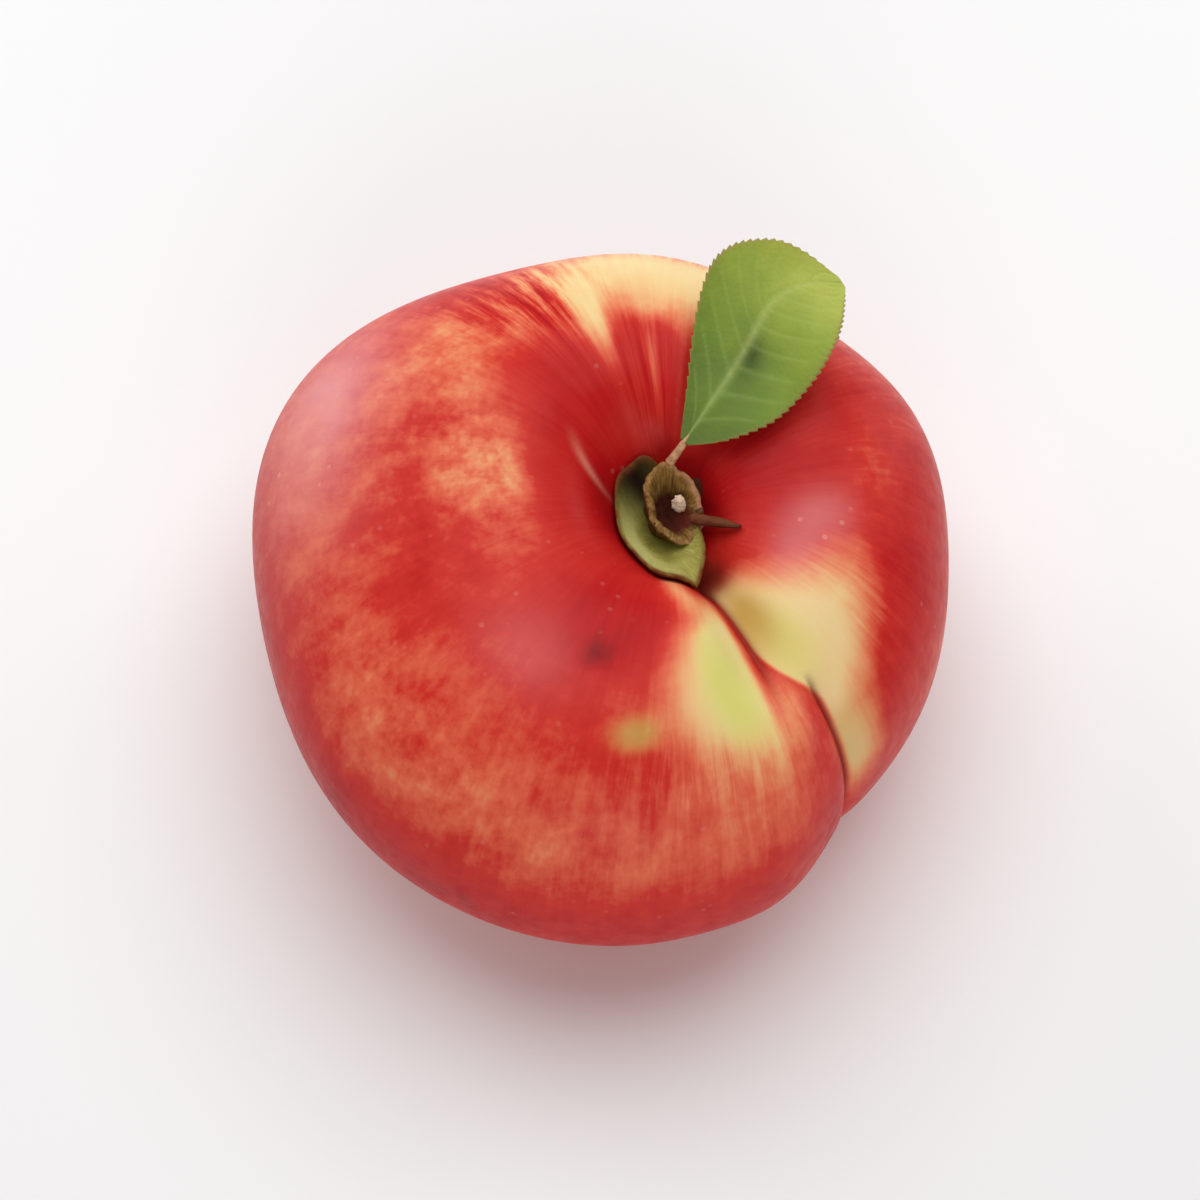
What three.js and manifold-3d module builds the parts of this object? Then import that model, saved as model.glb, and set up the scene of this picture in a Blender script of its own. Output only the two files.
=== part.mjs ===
// A flat nectarine with a torn bark collar, a broken woody stub and one young leaf.
// Millimetres, +Z up along the stem. The photographed side faces -Y.
import * as THREE from 'three';
import Module from 'manifold-3d';
import { mergeVertices } from 'three/addons/utils/BufferGeometryUtils.js';

const wasm = await Module();
wasm.setup();

const DEG = Math.PI / 180;
const UP = new THREE.Vector3(0, 0, 1);

// Body of the fruit
const MEAN_RADIUS = 34.3;
const TOP_RISE = 21.6;
const BASE_DROP = 20.4;
const SHOULDER_POWER = 2.25;
// The stem stands off the middle of the fruit, because one lobe has grown larger.
const STEM_SHIFT = 6.7;
const STEM_SHIFT_AZIMUTH = 16 * DEG;
// Each wave has a count round the fruit, a height and the azimuth of its crest.
const OUTLINE_WAVES = [
  [2, 0.69, 86 * DEG],
  [3, 1.08, 27 * DEG],
  [4, -0.5, 25 * DEG],
  [5, 0.46, 19 * DEG],
  [6, 0.35, 33 * DEG],
];
const CREST_WAVES = [
  [1, 0.9, 205 * DEG],
  [2, 0.5, 120 * DEG],
];

// Stem cavity: a wide funnel with a steeper oval pit in its middle
const FUNNEL_DEPTH = 7.6;
const FUNNEL_RADIUS = 12.6;
const FUNNEL_SPREAD = 0.16;
const FUNNEL_AZIMUTH = -35 * DEG;
const PIT_DEPTH = 4.6;
const PIT_LONG = 8.4;
const PIT_SHORT = 5.3;
const PIT_CENTRE = [-0.75, -1.2];
const PIT_AZIMUTH = -65 * DEG;
const PIT_POWER = 3;
const CAVITY_RISES = [-0.05, 0.4];

// Blossom end and the ring that the fruit rests on
const BASIN_DEPTH = 3.6;
const BASIN_RADIUS = 10.5;
const RINGS_SLIDE = [95 * DEG, 165 * DEG];
const FLAT_CUT = 0.18;

// Suture: two creases that pass each other in one valley. A fall is the angle from the stem,
// and a pair of falls is where a feature starts to come or go and where it has.
const CREASE_DEPTH = 1.3;
const CREASE_LEFT_WIDTH = 0.55;
const CREASE_RIGHT_WIDTH = 1.5;
const INNER_AZIMUTH = -64 * DEG;
const INNER_CURL = -5.5 * DEG;
const INNER_CURL_START = 13 * DEG;
const INNER_CURL_FALL = 12 * DEG;
const INNER_COMES = [7 * DEG, 13 * DEG];
const INNER_GOES = [40 * DEG, 56 * DEG];
const OUTER_AZIMUTH = -55 * DEG;
const OUTER_DRIFT = -5 * DEG;
const OUTER_DRIFTS = [80 * DEG, 160 * DEG];
const OUTER_COMES = [46 * DEG, 56 * DEG];
const OUTER_SOFTENS = [100 * DEG, 150 * DEG];
const OUTER_SOFTNESS = 0.7;
const OUTER_GOES = [160 * DEG, 174 * DEG];
const VALLEY_CROSSES = [34 * DEG, 58 * DEG];
const VALLEY_COMES = [5 * DEG, 16 * DEG];
const VALLEY_GOES = [150 * DEG, 175 * DEG];
const VALLEY_TOP_DEPTH = 3.6;
const VALLEY_SIDE_DEPTH = 1.2;
const VALLEY_BASE_DEPTH = 0.6;
const VALLEY_RISES = [25 * DEG, 75 * DEG];
const VALLEY_FLATTENS = [95 * DEG, 150 * DEG];
const VALLEY_LEFT_SPREAD = 9 * DEG;
const VALLEY_RIGHT_SPREAD = 26 * DEG;
const LIP_HEIGHT = 0.7;
const LIP_TURN = -17 * DEG;
const LIP_SPREAD = 9 * DEG;
const LIP_GOES = [95 * DEG, 135 * DEG];
// A small knob swells between the two creases.
const KNOB_HEIGHT = 0.55;
const KNOB_AZIMUTH = -62.5 * DEG;
const KNOB_FALL = 53 * DEG;
const KNOB_LENGTH = 4.5;
const KNOB_WIDTH = 1.6;

// Each pleat round the cavity has an azimuth and a half width in degrees, and a height.
const PLEATS_COME = [8 * DEG, 15 * DEG];
const PLEATS_GO = [24 * DEG, 48 * DEG];
const PLEATS = [
  [96, 5, -0.45],
  [112, 5, 0.35],
  [84, 5, 0.3],
  [132, 7, -0.35],
  [150, 8, 0.3],
  [60, 8, -0.25],
  [10, 9, -0.3],
];

// Slow swells of the whole skin, and the fuller lobe on the left of the front
const SWELL_HEIGHT = 0.35;
const LOWER_SWELL_HEIGHT = 0.22;
const LOBE_HEIGHT = 0.9;
const LOBE_AZIMUTH = -150 * DEG;
const LOBE_SPREAD = 42 * DEG;
const LOBE_RISES = [-0.6, 0.6];

// Surface grid of the fruit
const TURNS = 80;
const ROWS = 38;
const TURN_CROWDING = 0.5;
const ROW_CROWDING = 0.62;

// Bark collar: a shallow oval dish in the pit, higher on its lower left side
const COLLAR_LONG = 7.4;
const COLLAR_SHORT = 3.8;
const COLLAR_CENTRE = [-0.9, -2.1];
const COLLAR_AZIMUTH = -72 * DEG;
const COLLAR_THICKNESS = 0.9;
const COLLAR_RISE = 2.0;
const COLLAR_RISE_WAVE = 0.8;
const COLLAR_HIGH_AZIMUTH = 222 * DEG;
const COLLAR_DISH_POWER = 2.2;
const COLLAR_TURNS = 32;
// Shares of the collar's width where its rings run, up to the start of its rounded rim
const COLLAR_SHARES = [0, 0.162, 0.323, 0.485, 0.647, 0.808, 0.97];

// Woody stub with its bud scales and the withered spur
const STUB_CENTRE = [0.4, -0.3];
const STUB_RIM = [2.65, 3.5];
const STUB_TURN = 25 * DEG;
const STUB_FOOT = [2.0, 2.2];
const STUB_FOOT_SHIFT = new THREE.Vector3(-0.5, -0.3, 0);
const STUB_WALL = 0.75;
const STUB_HEIGHT = 3.0;
const STUB_SLANT = 1.95;
const STUB_FLOOR = 1.1;
const STUB_TURNS = 24;
// Each bud scale has an azimuth in degrees, a distance from the middle, a height, a half width
// and a half length.
const BUD_SCALES = [
  [110, 2.75, 2.9, 1.0, 1.9],
  [150, 2.5, 2.3, 0.9, 1.6],
  [185, 2.3, 1.9, 0.8, 1.3],
  [225, 2.3, 1.4, 0.8, 1.1],
  [345, 2.3, 1.7, 0.8, 1.2],
  [40, 2.6, 2.6, 0.9, 1.6],
];
const BUD_SCALE_HALF_THICKNESS = 0.5;
const BUD_SCALE_LEAN = 16 * DEG;
const SPLINTER_SIZE = [1.4, 0.8, 2.4];
const SPLINTER_CENTRE = [0.65, 0.35, 1.9];
const SPUR_PATH = [[1.8, -1.0, 1.9], [3.1, -1.5, 2.3], [4.6, -2.1, 2.85], [6.2, -2.8, 3.5]];
const SPUR_RADII = [0.62, 0.58, 0.42, 0.24];

// Room that stays free between two pieces that grow from each other
const GAP = 0.35;

// Leaf, seen from above: its midrib and both edges, from the stalk to the tip
const LEAF_MIDRIB = [
  [1.3, 4.2], [3.4, 7.4], [5.7, 10.8], [7.3, 13.5], [8.5, 15.7],
  [9.7, 17.5], [11.5, 18.7], [13.8, 19.2], [16.3, 19.1],
];
const LEAF_LEFT = [
  [1.0, 4.6], [1.6, 9.3], [2.2, 14.4], [3.1, 18.5], [4.5, 21.5],
  [6.9, 23.1], [9.9, 23.1], [13.1, 21.6], [15.9, 19.7],
];
const LEAF_RIGHT = [
  [1.7, 3.9], [5.7, 4.1], [9.3, 5.5], [12.0, 7.8], [14.0, 10.0],
  [15.4, 12.4], [16.2, 14.7], [16.5, 16.8], [16.6, 18.6],
];
const LEAF_START_HEIGHT = 8.0;
const LEAF_SLOPE = 0.2165;
const LEAF_THICKNESS = 0.7;
const LEAF_CUP = 0.9;
const LEAF_RIPPLE = 0.35;
const LEAF_TIP_LIFT = 1.0;
const LEAF_ROWS = 32;
const LEAF_COLUMNS = 4;
const LEAF_TOOTH = 0.22;
const STALK_ROOT = [0.0, 3.1];
const STALK_ROOT_HEIGHT = 6.85;
const STALK_STATIONS = [0, 0.06, 0.14, 0.26];
const STALK_RADII = [0.36, 0.36, 0.4, 0.34, 0.2];

const bell = (x, width) => Math.exp(-((x / width) ** 2));
const comes = ([from, to], x) => THREE.MathUtils.smoothstep(x, from, to);
const goes = (range, x) => 1 - comes(range, x);

function wrap(angle) {
  return angle - 2 * Math.PI * Math.round(angle / (2 * Math.PI));
}

function waves(azimuth, terms) {
  let sum = 0;
  for (const [count, height, crest] of terms) {
    sum += height * Math.cos(count * (azimuth - crest));
  }
  return sum;
}

// Distance from the stem's axis to the widest outline of the fruit
function rimRadius(azimuth) {
  const round = MEAN_RADIUS + waves(azimuth, OUTLINE_WAVES);
  const turn = azimuth - STEM_SHIFT_AZIMUTH;
  return -STEM_SHIFT * Math.cos(turn) + Math.sqrt(round ** 2 - (STEM_SHIFT * Math.sin(turn)) ** 2);
}

// Distance from the middle of the oval pit, where 1 is half way up its wall
function pitDistance(x, y) {
  const turned = new THREE.Vector2(x - PIT_CENTRE[0], y - PIT_CENTRE[1]);
  turned.rotateAround(new THREE.Vector2(), -PIT_AZIMUTH);
  return Math.hypot(turned.x / PIT_LONG, turned.y / PIT_SHORT);
}

// A crease is steep on its left side and gentler on its right.
function crease(across) {
  const width = across < 0 ? CREASE_LEFT_WIDTH : CREASE_RIGHT_WIDTH;
  return -CREASE_DEPTH * Math.exp(-Math.abs(across) / width);
}

// Azimuths of the inner crease, the outer crease and the valley that holds them both
function sutureLines(fall) {
  const beyondCurl = Math.max(fall - INNER_CURL_START, 0);
  const inner = INNER_AZIMUTH + INNER_CURL * Math.exp(-beyondCurl / INNER_CURL_FALL);
  const outer = OUTER_AZIMUTH + OUTER_DRIFT * comes(OUTER_DRIFTS, fall);
  const valley = THREE.MathUtils.lerp(inner, outer, comes(VALLEY_CROSSES, fall));
  return { inner, outer, valley };
}

function sutureRelief(azimuth, fall, radius) {
  const { inner, outer, valley } = sutureLines(fall);
  const onInner = comes(INNER_COMES, fall) * goes(INNER_GOES, fall);
  const softened = 1 - OUTER_SOFTNESS * comes(OUTER_SOFTENS, fall);
  const onOuter = comes(OUTER_COMES, fall) * goes(OUTER_GOES, fall) * softened;
  let relief = onInner * crease(wrap(azimuth - inner) * radius);
  relief += onOuter * crease(wrap(azimuth - outer) * radius);

  const turn = wrap(azimuth - valley);
  const spread = turn < 0 ? VALLEY_LEFT_SPREAD : VALLEY_RIGHT_SPREAD;
  const inValley = comes(VALLEY_COMES, fall) * goes(VALLEY_GOES, fall);
  let depth = VALLEY_SIDE_DEPTH;
  depth += (VALLEY_TOP_DEPTH - VALLEY_SIDE_DEPTH) * goes(VALLEY_RISES, fall);
  depth += (VALLEY_BASE_DEPTH - VALLEY_SIDE_DEPTH) * comes(VALLEY_FLATTENS, fall);
  relief -= depth * inValley * bell(turn, spread);
  relief += LIP_HEIGHT * inValley * goes(LIP_GOES, fall) * bell(turn - LIP_TURN, LIP_SPREAD);

  const alongKnob = (fall - KNOB_FALL) * radius;
  const acrossKnob = wrap(azimuth - KNOB_AZIMUTH) * radius;
  return relief + KNOB_HEIGHT * bell(alongKnob, KNOB_LENGTH) * bell(acrossKnob, KNOB_WIDTH);
}

function pleatRelief(azimuth, fall) {
  let sum = 0;
  for (const [turn, width, height] of PLEATS) {
    sum += height * bell(wrap(azimuth - turn * DEG), width * DEG);
  }
  return sum * comes(PLEATS_COME, fall) * goes(PLEATS_GO, fall);
}

function swellRelief(azimuth, fall) {
  const swell = SWELL_HEIGHT * Math.sin(3 * azimuth + 1.1) * Math.sin(2 * fall + 0.4);
  const lowerSwell = LOWER_SWELL_HEIGHT * Math.sin(5 * azimuth - 0.6) * Math.sin(3 * fall);
  const aroundLobe = bell(wrap(azimuth - LOBE_AZIMUTH), LOBE_SPREAD);
  const lobe = LOBE_HEIGHT * aroundLobe * comes(LOBE_RISES, Math.cos(fall));
  return Math.sin(fall) ** 2 * (swell + lowerSwell + lobe);
}

// Skin point for an azimuth about the stem and a fall from 0 at the stem to PI at the blossom end
function skinPoint(azimuth, fall) {
  const out = Math.sin(fall) ** (2 / SHOULDER_POWER);
  const up = Math.sign(Math.cos(fall)) * Math.abs(Math.cos(fall)) ** (2 / SHOULDER_POWER);

  // Below the equator the rings slide back under the middle of the fruit.
  const slide = comes(RINGS_SLIDE, fall);
  const reach = THREE.MathUtils.lerp(rimRadius(azimuth), MEAN_RADIUS, slide);
  let radius = reach * out;
  let z = 0;
  if (up > 0) {
    const funnelRadius = FUNNEL_RADIUS * (1 + FUNNEL_SPREAD * Math.cos(azimuth - FUNNEL_AZIMUTH));
    const funnel = FUNNEL_DEPTH * bell(radius, funnelRadius);
    const fromPit = pitDistance(radius * Math.cos(azimuth), radius * Math.sin(azimuth));
    const pit = PIT_DEPTH * Math.exp(-(fromPit ** PIT_POWER));
    z = (TOP_RISE + waves(azimuth, CREST_WAVES) * comes([0, 1], out)) * up;
    z -= (funnel + pit) * comes(CAVITY_RISES, up);
  } else {
    z = BASE_DROP * up + BASIN_DEPTH * bell(radius, BASIN_RADIUS);
  }

  let relief = sutureRelief(azimuth, fall, radius);
  relief += pleatRelief(azimuth, fall);
  relief += swellRelief(azimuth, fall);
  radius = Math.max(radius + relief * Math.sin(fall), 0);
  z += relief * Math.cos(fall);
  const x = radius * Math.cos(azimuth) - slide * STEM_SHIFT * Math.cos(STEM_SHIFT_AZIMUTH);
  const y = radius * Math.sin(azimuth) - slide * STEM_SHIFT * Math.sin(STEM_SHIFT_AZIMUTH);
  return new THREE.Vector3(x, y, z);
}

// Height of the skin above or below a point near the stem
function skinHeight(x, y) {
  const azimuth = Math.atan2(y, x);
  const wanted = Math.hypot(x, y);
  let low = 0;
  let high = 75 * DEG;
  for (let step = 0; step < 30; step++) {
    const middle = (low + high) / 2;
    const point = skinPoint(azimuth, middle);
    if (Math.hypot(point.x, point.y) < wanted) low = middle;
    else high = middle;
  }
  return skinPoint(azimuth, low).z;
}

// Closes rings of points into one skin: the first and the last ring may each be a single point.
function closedSkin(rings) {
  const points = [];
  const starts = [];
  for (const ring of rings) {
    starts.push(points.length);
    points.push(...ring);
  }
  const index = [];
  for (let r = 0; r + 1 < rings.length; r++) {
    const count = Math.max(rings[r].length, rings[r + 1].length);
    for (let k = 0; k < count; k++) {
      const next = (k + 1) % count;
      const a = starts[r] + (rings[r].length > 1 ? k : 0);
      const b = starts[r] + (rings[r].length > 1 ? next : 0);
      const c = starts[r + 1] + (rings[r + 1].length > 1 ? k : 0);
      const d = starts[r + 1] + (rings[r + 1].length > 1 ? next : 0);
      if (rings[r].length > 1) index.push(a, c, b);
      if (rings[r + 1].length > 1) index.push(b, c, d);
    }
  }
  const geometry = new THREE.BufferGeometry().setFromPoints(points);
  geometry.setIndex(index);
  return geometry;
}

// A round tube of changing radius along a smooth curve, with a blunt cap at each end
function taperedTube(path, radii, steps, sides) {
  const curve = new THREE.CatmullRomCurve3(path);
  const frames = curve.computeFrenetFrames(steps, false);
  const rings = [[curve.getPointAt(0)]];
  for (let s = 0; s <= steps; s++) {
    const t = s / steps;
    const place = t * (radii.length - 1);
    const k = Math.min(Math.floor(place), radii.length - 2);
    const radius = THREE.MathUtils.lerp(radii[k], radii[k + 1], place - k);
    const centre = curve.getPointAt(t);
    const ring = [];
    for (let n = 0; n < sides; n++) {
      const turn = (n / sides) * 2 * Math.PI;
      const point = centre.clone();
      point.addScaledVector(frames.normals[s], radius * Math.cos(turn));
      point.addScaledVector(frames.binormals[s], radius * Math.sin(turn));
      ring.push(point);
    }
    rings.push(ring.reverse());
  }
  rings.push([curve.getPointAt(1)]);
  return closedSkin(rings);
}

function toSolid(geometry) {
  const bare = geometry.clone();
  bare.deleteAttribute('normal');
  bare.deleteAttribute('uv');
  const merged = mergeVertices(bare, 1e-4);
  const vertProperties = new Float32Array(merged.attributes.position.array);
  const triVerts = new Uint32Array(merged.index.array);
  return new wasm.Manifold(new wasm.Mesh({ numProp: 3, vertProperties, triVerts }));
}

function toGeometry(solid) {
  const mesh = solid.getMesh();
  const geometry = new THREE.BufferGeometry();
  geometry.setAttribute('position', new THREE.BufferAttribute(mesh.vertProperties, 3));
  geometry.setIndex(new THREE.BufferAttribute(mesh.triVerts, 1));
  return geometry;
}

function fuse(geometries) {
  return geometries.map(toSolid).reduce((whole, piece) => whole.add(piece));
}

// Fruit
function fruitRings() {
  const rings = [[skinPoint(0, 0)]];
  for (let r = 1; r < ROWS; r++) {
    const v = r / ROWS;
    const fall = Math.PI * (v - (ROW_CROWDING * Math.sin(2 * Math.PI * v)) / (2 * Math.PI));
    const ring = [];
    for (let t = 0; t < TURNS; t++) {
      // Every ring starts on the suture, and its points crowd together there.
      const u = (t / TURNS) * 2 * Math.PI;
      ring.push(skinPoint(sutureLines(fall).valley + u - TURN_CROWDING * Math.sin(u), fall));
    }
    rings.push(ring);
  }
  rings.push([skinPoint(0, Math.PI)]);
  return rings;
}

// Bark collar: plan of its oval, where s is 0 in the middle and 1 on the rim
function collarPlan(s, turn) {
  const wobble = 1 + 0.025 * Math.sin(3 * turn + 0.7) + 0.02 * Math.sin(7 * turn);
  const along = COLLAR_LONG * s * wobble * Math.cos(turn);
  const across = COLLAR_SHORT * s * wobble * Math.sin(turn);
  const x = COLLAR_CENTRE[0] + along * Math.cos(COLLAR_AZIMUTH) - across * Math.sin(COLLAR_AZIMUTH);
  const y = COLLAR_CENTRE[1] + along * Math.sin(COLLAR_AZIMUTH) + across * Math.cos(COLLAR_AZIMUTH);
  return [x, y];
}

function collarUnderside(pitFloor, s, x, y) {
  const rise = COLLAR_RISE + COLLAR_RISE_WAVE * Math.cos(Math.atan2(y, x) - COLLAR_HIGH_AZIMUTH);
  const dish = pitFloor + rise * s ** COLLAR_DISH_POWER;
  return Math.max(dish, skinHeight(x, y)) + GAP;
}

function ovalRing(s, height) {
  const ring = [];
  for (let k = 0; k < COLLAR_TURNS; k++) {
    const [x, y] = collarPlan(s, (k / COLLAR_TURNS) * 2 * Math.PI);
    ring.push(new THREE.Vector3(x, y, height(s, x, y)));
  }
  return s > 0 ? ring : ring.slice(0, 1);
}

// The upper face runs out to a rounded rim, and the lower face runs back under it.
function collarGeometry(pitFloor) {
  const rimShare = COLLAR_SHARES.at(-1);
  const ringAt = (share, lift) => ovalRing(share, (s, x, y) => {
    return collarUnderside(pitFloor, s, x, y) + COLLAR_THICKNESS * lift;
  });
  const upper = COLLAR_SHARES.map((share) => ringAt(share, share < rimShare ? 1 : 0.9));
  const lower = COLLAR_SHARES.map((share) => ringAt(share, share < rimShare ? 0 : 0.1));
  return closedSkin([...upper, ringAt(1, 0.5), ...lower.reverse()]);
}

// All that the stub keeps clear of: the collar, and the skin of the fruit beyond the collar's rim
function clearanceGeometry(pitFloor) {
  const overCollar = (s, x, y) => collarUnderside(pitFloor, s, x, y) + COLLAR_THICKNESS + GAP;
  const overSkin = (s, x, y) => skinHeight(x, y) + GAP;
  const rings = [0, 0.2, 0.4, 0.6, 0.8, 0.95, 1.07].map((s) => ovalRing(s, overCollar));
  rings.push(...[1.09, 1.2, 1.35, 1.5, 1.7, 2.0].map((s) => ovalRing(s, overSkin)));
  rings.push(ovalRing(2.0, () => pitFloor - 4));
  rings.push(ovalRing(0, () => pitFloor - 4));
  return closedSkin(rings);
}

// Woody stub: a hollow oval tube torn off on a slant, high on its far side
function tornTube() {
  const rimHeight = (turn) => STUB_HEIGHT + STUB_SLANT * Math.sin(turn) + 0.12 * Math.sin(5 * turn + 1);
  const ringAt = (height, flare, inset) => {
    const ring = [];
    for (let k = 0; k < STUB_TURNS; k++) {
      const turn = (k / STUB_TURNS) * 2 * Math.PI;
      const ridge = 1 + 0.03 * Math.sin(6 * turn);
      const reachX = THREE.MathUtils.lerp(STUB_FOOT[0], STUB_RIM[0], flare) * ridge - inset;
      const reachY = THREE.MathUtils.lerp(STUB_FOOT[1], STUB_RIM[1], flare) * ridge - inset;
      const point = new THREE.Vector3(reachX * Math.cos(turn), reachY * Math.sin(turn), height(turn));
      point.applyAxisAngle(UP, STUB_TURN).addScaledVector(STUB_FOOT_SHIFT, 1 - flare);
      ring.push(point);
    }
    return ring;
  };
  const upWall = (share) => (turn) => share * rimHeight(turn);
  const hollow = (turn) => STUB_FLOOR + 0.12 * (rimHeight(turn) - STUB_HEIGHT + STUB_SLANT);
  return closedSkin([
    [new THREE.Vector3(0, 0, STUB_FLOOR)],
    ringAt(hollow, 0.2, 1.2),
    ringAt(hollow, 0.4, STUB_WALL + 0.1),
    ringAt(upWall(0.8), 0.75, STUB_WALL),
    ringAt(upWall(0.97), 0.95, STUB_WALL * 0.8),
    ringAt(upWall(1), 1, STUB_WALL * 0.4),
    ringAt(upWall(0.95), 1, 0),
    ringAt(upWall(0.75), 0.85, 0),
    ringAt(upWall(0.5), 0.5, 0),
    ringAt(upWall(0.25), 0.2, 0),
    ringAt(() => 0, 0, 0),
    [new THREE.Vector3(0, 0, 0)],
  ]);
}

function stubGeometry(pitFloor) {
  const pieces = [tornTube()];
  for (const [turn, distance, height, halfWidth, halfLength] of BUD_SCALES) {
    const scale = new THREE.SphereGeometry(1, 10, 8);
    scale.rotateX(90 * DEG);
    scale.scale(BUD_SCALE_HALF_THICKNESS, halfWidth, halfLength);
    scale.rotateY(BUD_SCALE_LEAN);
    scale.translate(distance, 0, height);
    scale.rotateZ(turn * DEG);
    pieces.push(scale);
  }

  // A splinter of broken wood stands in the hollow.
  const splinter = new THREE.BoxGeometry(...SPLINTER_SIZE);
  splinter.rotateX(-16 * DEG);
  splinter.rotateZ(-30 * DEG);
  splinter.translate(...SPLINTER_CENTRE);
  pieces.push(splinter);

  // The withered spur points right and tapers to a blunt end.
  const spurPath = SPUR_PATH.map((place) => new THREE.Vector3(...place));
  pieces.push(taperedTube(spurPath, SPUR_RADII, 9, 8));

  const stub = toGeometry(fuse(pieces));
  stub.translate(STUB_CENTRE[0], STUB_CENTRE[1], pitFloor + GAP + COLLAR_THICKNESS);
  return toGeometry(toSolid(stub).subtract(toSolid(clearanceGeometry(pitFloor))));
}

// Leaf
function alongStations(stations, t) {
  const place = t * (stations.length - 1);
  const k = Math.min(Math.floor(place), stations.length - 2);
  const at = (n) => stations[Math.min(Math.max(n, 0), stations.length - 1)];
  const [before, from, to, after] = [at(k - 1), at(k), at(k + 1), at(k + 2)];
  const s = place - k;
  return from.map((_, axis) => {
    const [p, q, r, w] = [before[axis], from[axis], to[axis], after[axis]];
    return q + 0.5 * s * (r - p + s * (2 * p - 5 * q + 4 * r - w + s * (3 * (q - r) + w - p)));
  });
}

function leafHeight(x, y, t, side) {
  const plane = LEAF_START_HEIGHT + LEAF_SLOPE * (y - LEAF_MIDRIB[0][1]);
  const spread = comes([0, 0.25], t) * (1 - 0.5 * comes([0.8, 1], t));
  const cup = LEAF_CUP * side ** 2;
  const wave = Math.sin(13 * t + (side > 0 ? 0.6 : 2.4));
  const ripple = LEAF_RIPPLE * wave * Math.abs(side) ** 1.5;
  return plane + (cup + ripple) * spread + LEAF_TIP_LIFT * t ** 2;
}

function leafGeometry(pitFloor) {
  const rings = [];
  for (let r = 0; r <= LEAF_ROWS; r++) {
    const t = r / LEAF_ROWS;
    const midrib = alongStations(LEAF_MIDRIB, t);
    const tooth = (r % 2 ? 0.5 : -0.5) * LEAF_TOOTH * comes([0.1, 0.2], t);
    const upper = [];
    const lower = [];
    for (let c = -LEAF_COLUMNS; c <= LEAF_COLUMNS; c++) {
      const side = c / LEAF_COLUMNS;
      const edge = alongStations(side < 0 ? LEAF_LEFT : LEAF_RIGHT, t);
      const width = Math.hypot(edge[0] - midrib[0], edge[1] - midrib[1]);
      const share = Math.abs(side) * (1 + (Math.abs(side) === 1 ? tooth / Math.max(width, 1) : 0));
      const x = THREE.MathUtils.lerp(midrib[0], edge[0], share);
      const y = THREE.MathUtils.lerp(midrib[1], edge[1], share);
      const z = pitFloor + leafHeight(x, y, t, side);
      upper.push(new THREE.Vector3(x, y, z));
      lower.push(new THREE.Vector3(x, y, z - LEAF_THICKNESS));
    }
    rings.push([...upper, ...lower.reverse()]);
  }
  return leafSlab(rings);
}

// Each ring runs over the upper face and back along the lower one, so both faces share their triangles.
function leafSlab(rings) {
  const across = rings[0].length;
  const half = across / 2;
  const index = [];
  const corner = (r, c) => r * across + ((c + across) % across);
  for (let r = 0; r + 1 < rings.length; r++) {
    for (let c = 0; c < across; c++) {
      const [a, b, d, e] = [corner(r, c), corner(r, c + 1), corner(r + 1, c), corner(r + 1, c + 1)];
      if (c < half) index.push(a, b, e, a, e, d);
      else index.push(a, b, d, b, e, d);
    }
  }
  for (const [row, flip] of [[0, true], [rings.length - 1, false]]) {
    for (let c = 0; c + 1 < half; c++) {
      const [a, b] = [corner(row, c), corner(row, c + 1)];
      const [d, e] = [corner(row, across - 1 - c), corner(row, across - 2 - c)];
      if (flip) index.push(a, e, b, a, d, e);
      else index.push(a, b, e, a, e, d);
    }
  }
  const geometry = new THREE.BufferGeometry().setFromPoints(rings.flat());
  geometry.setIndex(index);
  return geometry;
}

// The stalk starts just above the stub's rim and runs along under the midrib.
function stalkGeometry(pitFloor) {
  const path = [new THREE.Vector3(...STALK_ROOT, pitFloor + STALK_ROOT_HEIGHT)];
  for (const t of STALK_STATIONS) {
    const [x, y] = alongStations(LEAF_MIDRIB, t);
    path.push(new THREE.Vector3(x, y, pitFloor + leafHeight(x, y, t, 0) - LEAF_THICKNESS / 2));
  }
  return taperedTube(path, STALK_RADII, 18, 8);
}

// Assembly
const rings = fruitRings();
const lowest = Math.min(...rings.flat().map((point) => point.z)) + FLAT_CUT;
for (const point of rings.flat()) point.z = Math.max(point.z, lowest);
const middle = new THREE.Box3().setFromPoints(rings.flat()).getCenter(new THREE.Vector3());
const pitFloor = skinHeight(0, 0);
const leaf = fuse([leafGeometry(pitFloor), stalkGeometry(pitFloor)]);

const skinRed = new THREE.MeshStandardMaterial({ color: '#c6452f', roughness: 0.4, metalness: 0 });
const barkGreen = new THREE.MeshStandardMaterial({ color: '#94994f', roughness: 0.6, metalness: 0 });
const woodBrown = new THREE.MeshStandardMaterial({ color: '#7a5330', roughness: 0.8, metalness: 0 });
const leafGreen = new THREE.MeshStandardMaterial({ color: '#7d9a48', roughness: 0.5, metalness: 0 });

function addMesh(name, geometry, material) {
  const mesh = new THREE.Mesh(geometry, material);
  mesh.name = name;
  nectarine.add(mesh);
}

const nectarine = new THREE.Group();
nectarine.position.set(-middle.x, -middle.y, -lowest);
addMesh('fruit', closedSkin(rings), skinRed);
addMesh('stem_collar', collarGeometry(pitFloor), barkGreen);
addMesh('stem_stub', stubGeometry(pitFloor), woodBrown);
addMesh('leaf', toGeometry(leaf), leafGreen);

export default nectarine;
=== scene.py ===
"""Flat nectarine with a torn bark collar, a woody stub and one young leaf, on a pale floor."""
import math

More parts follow.
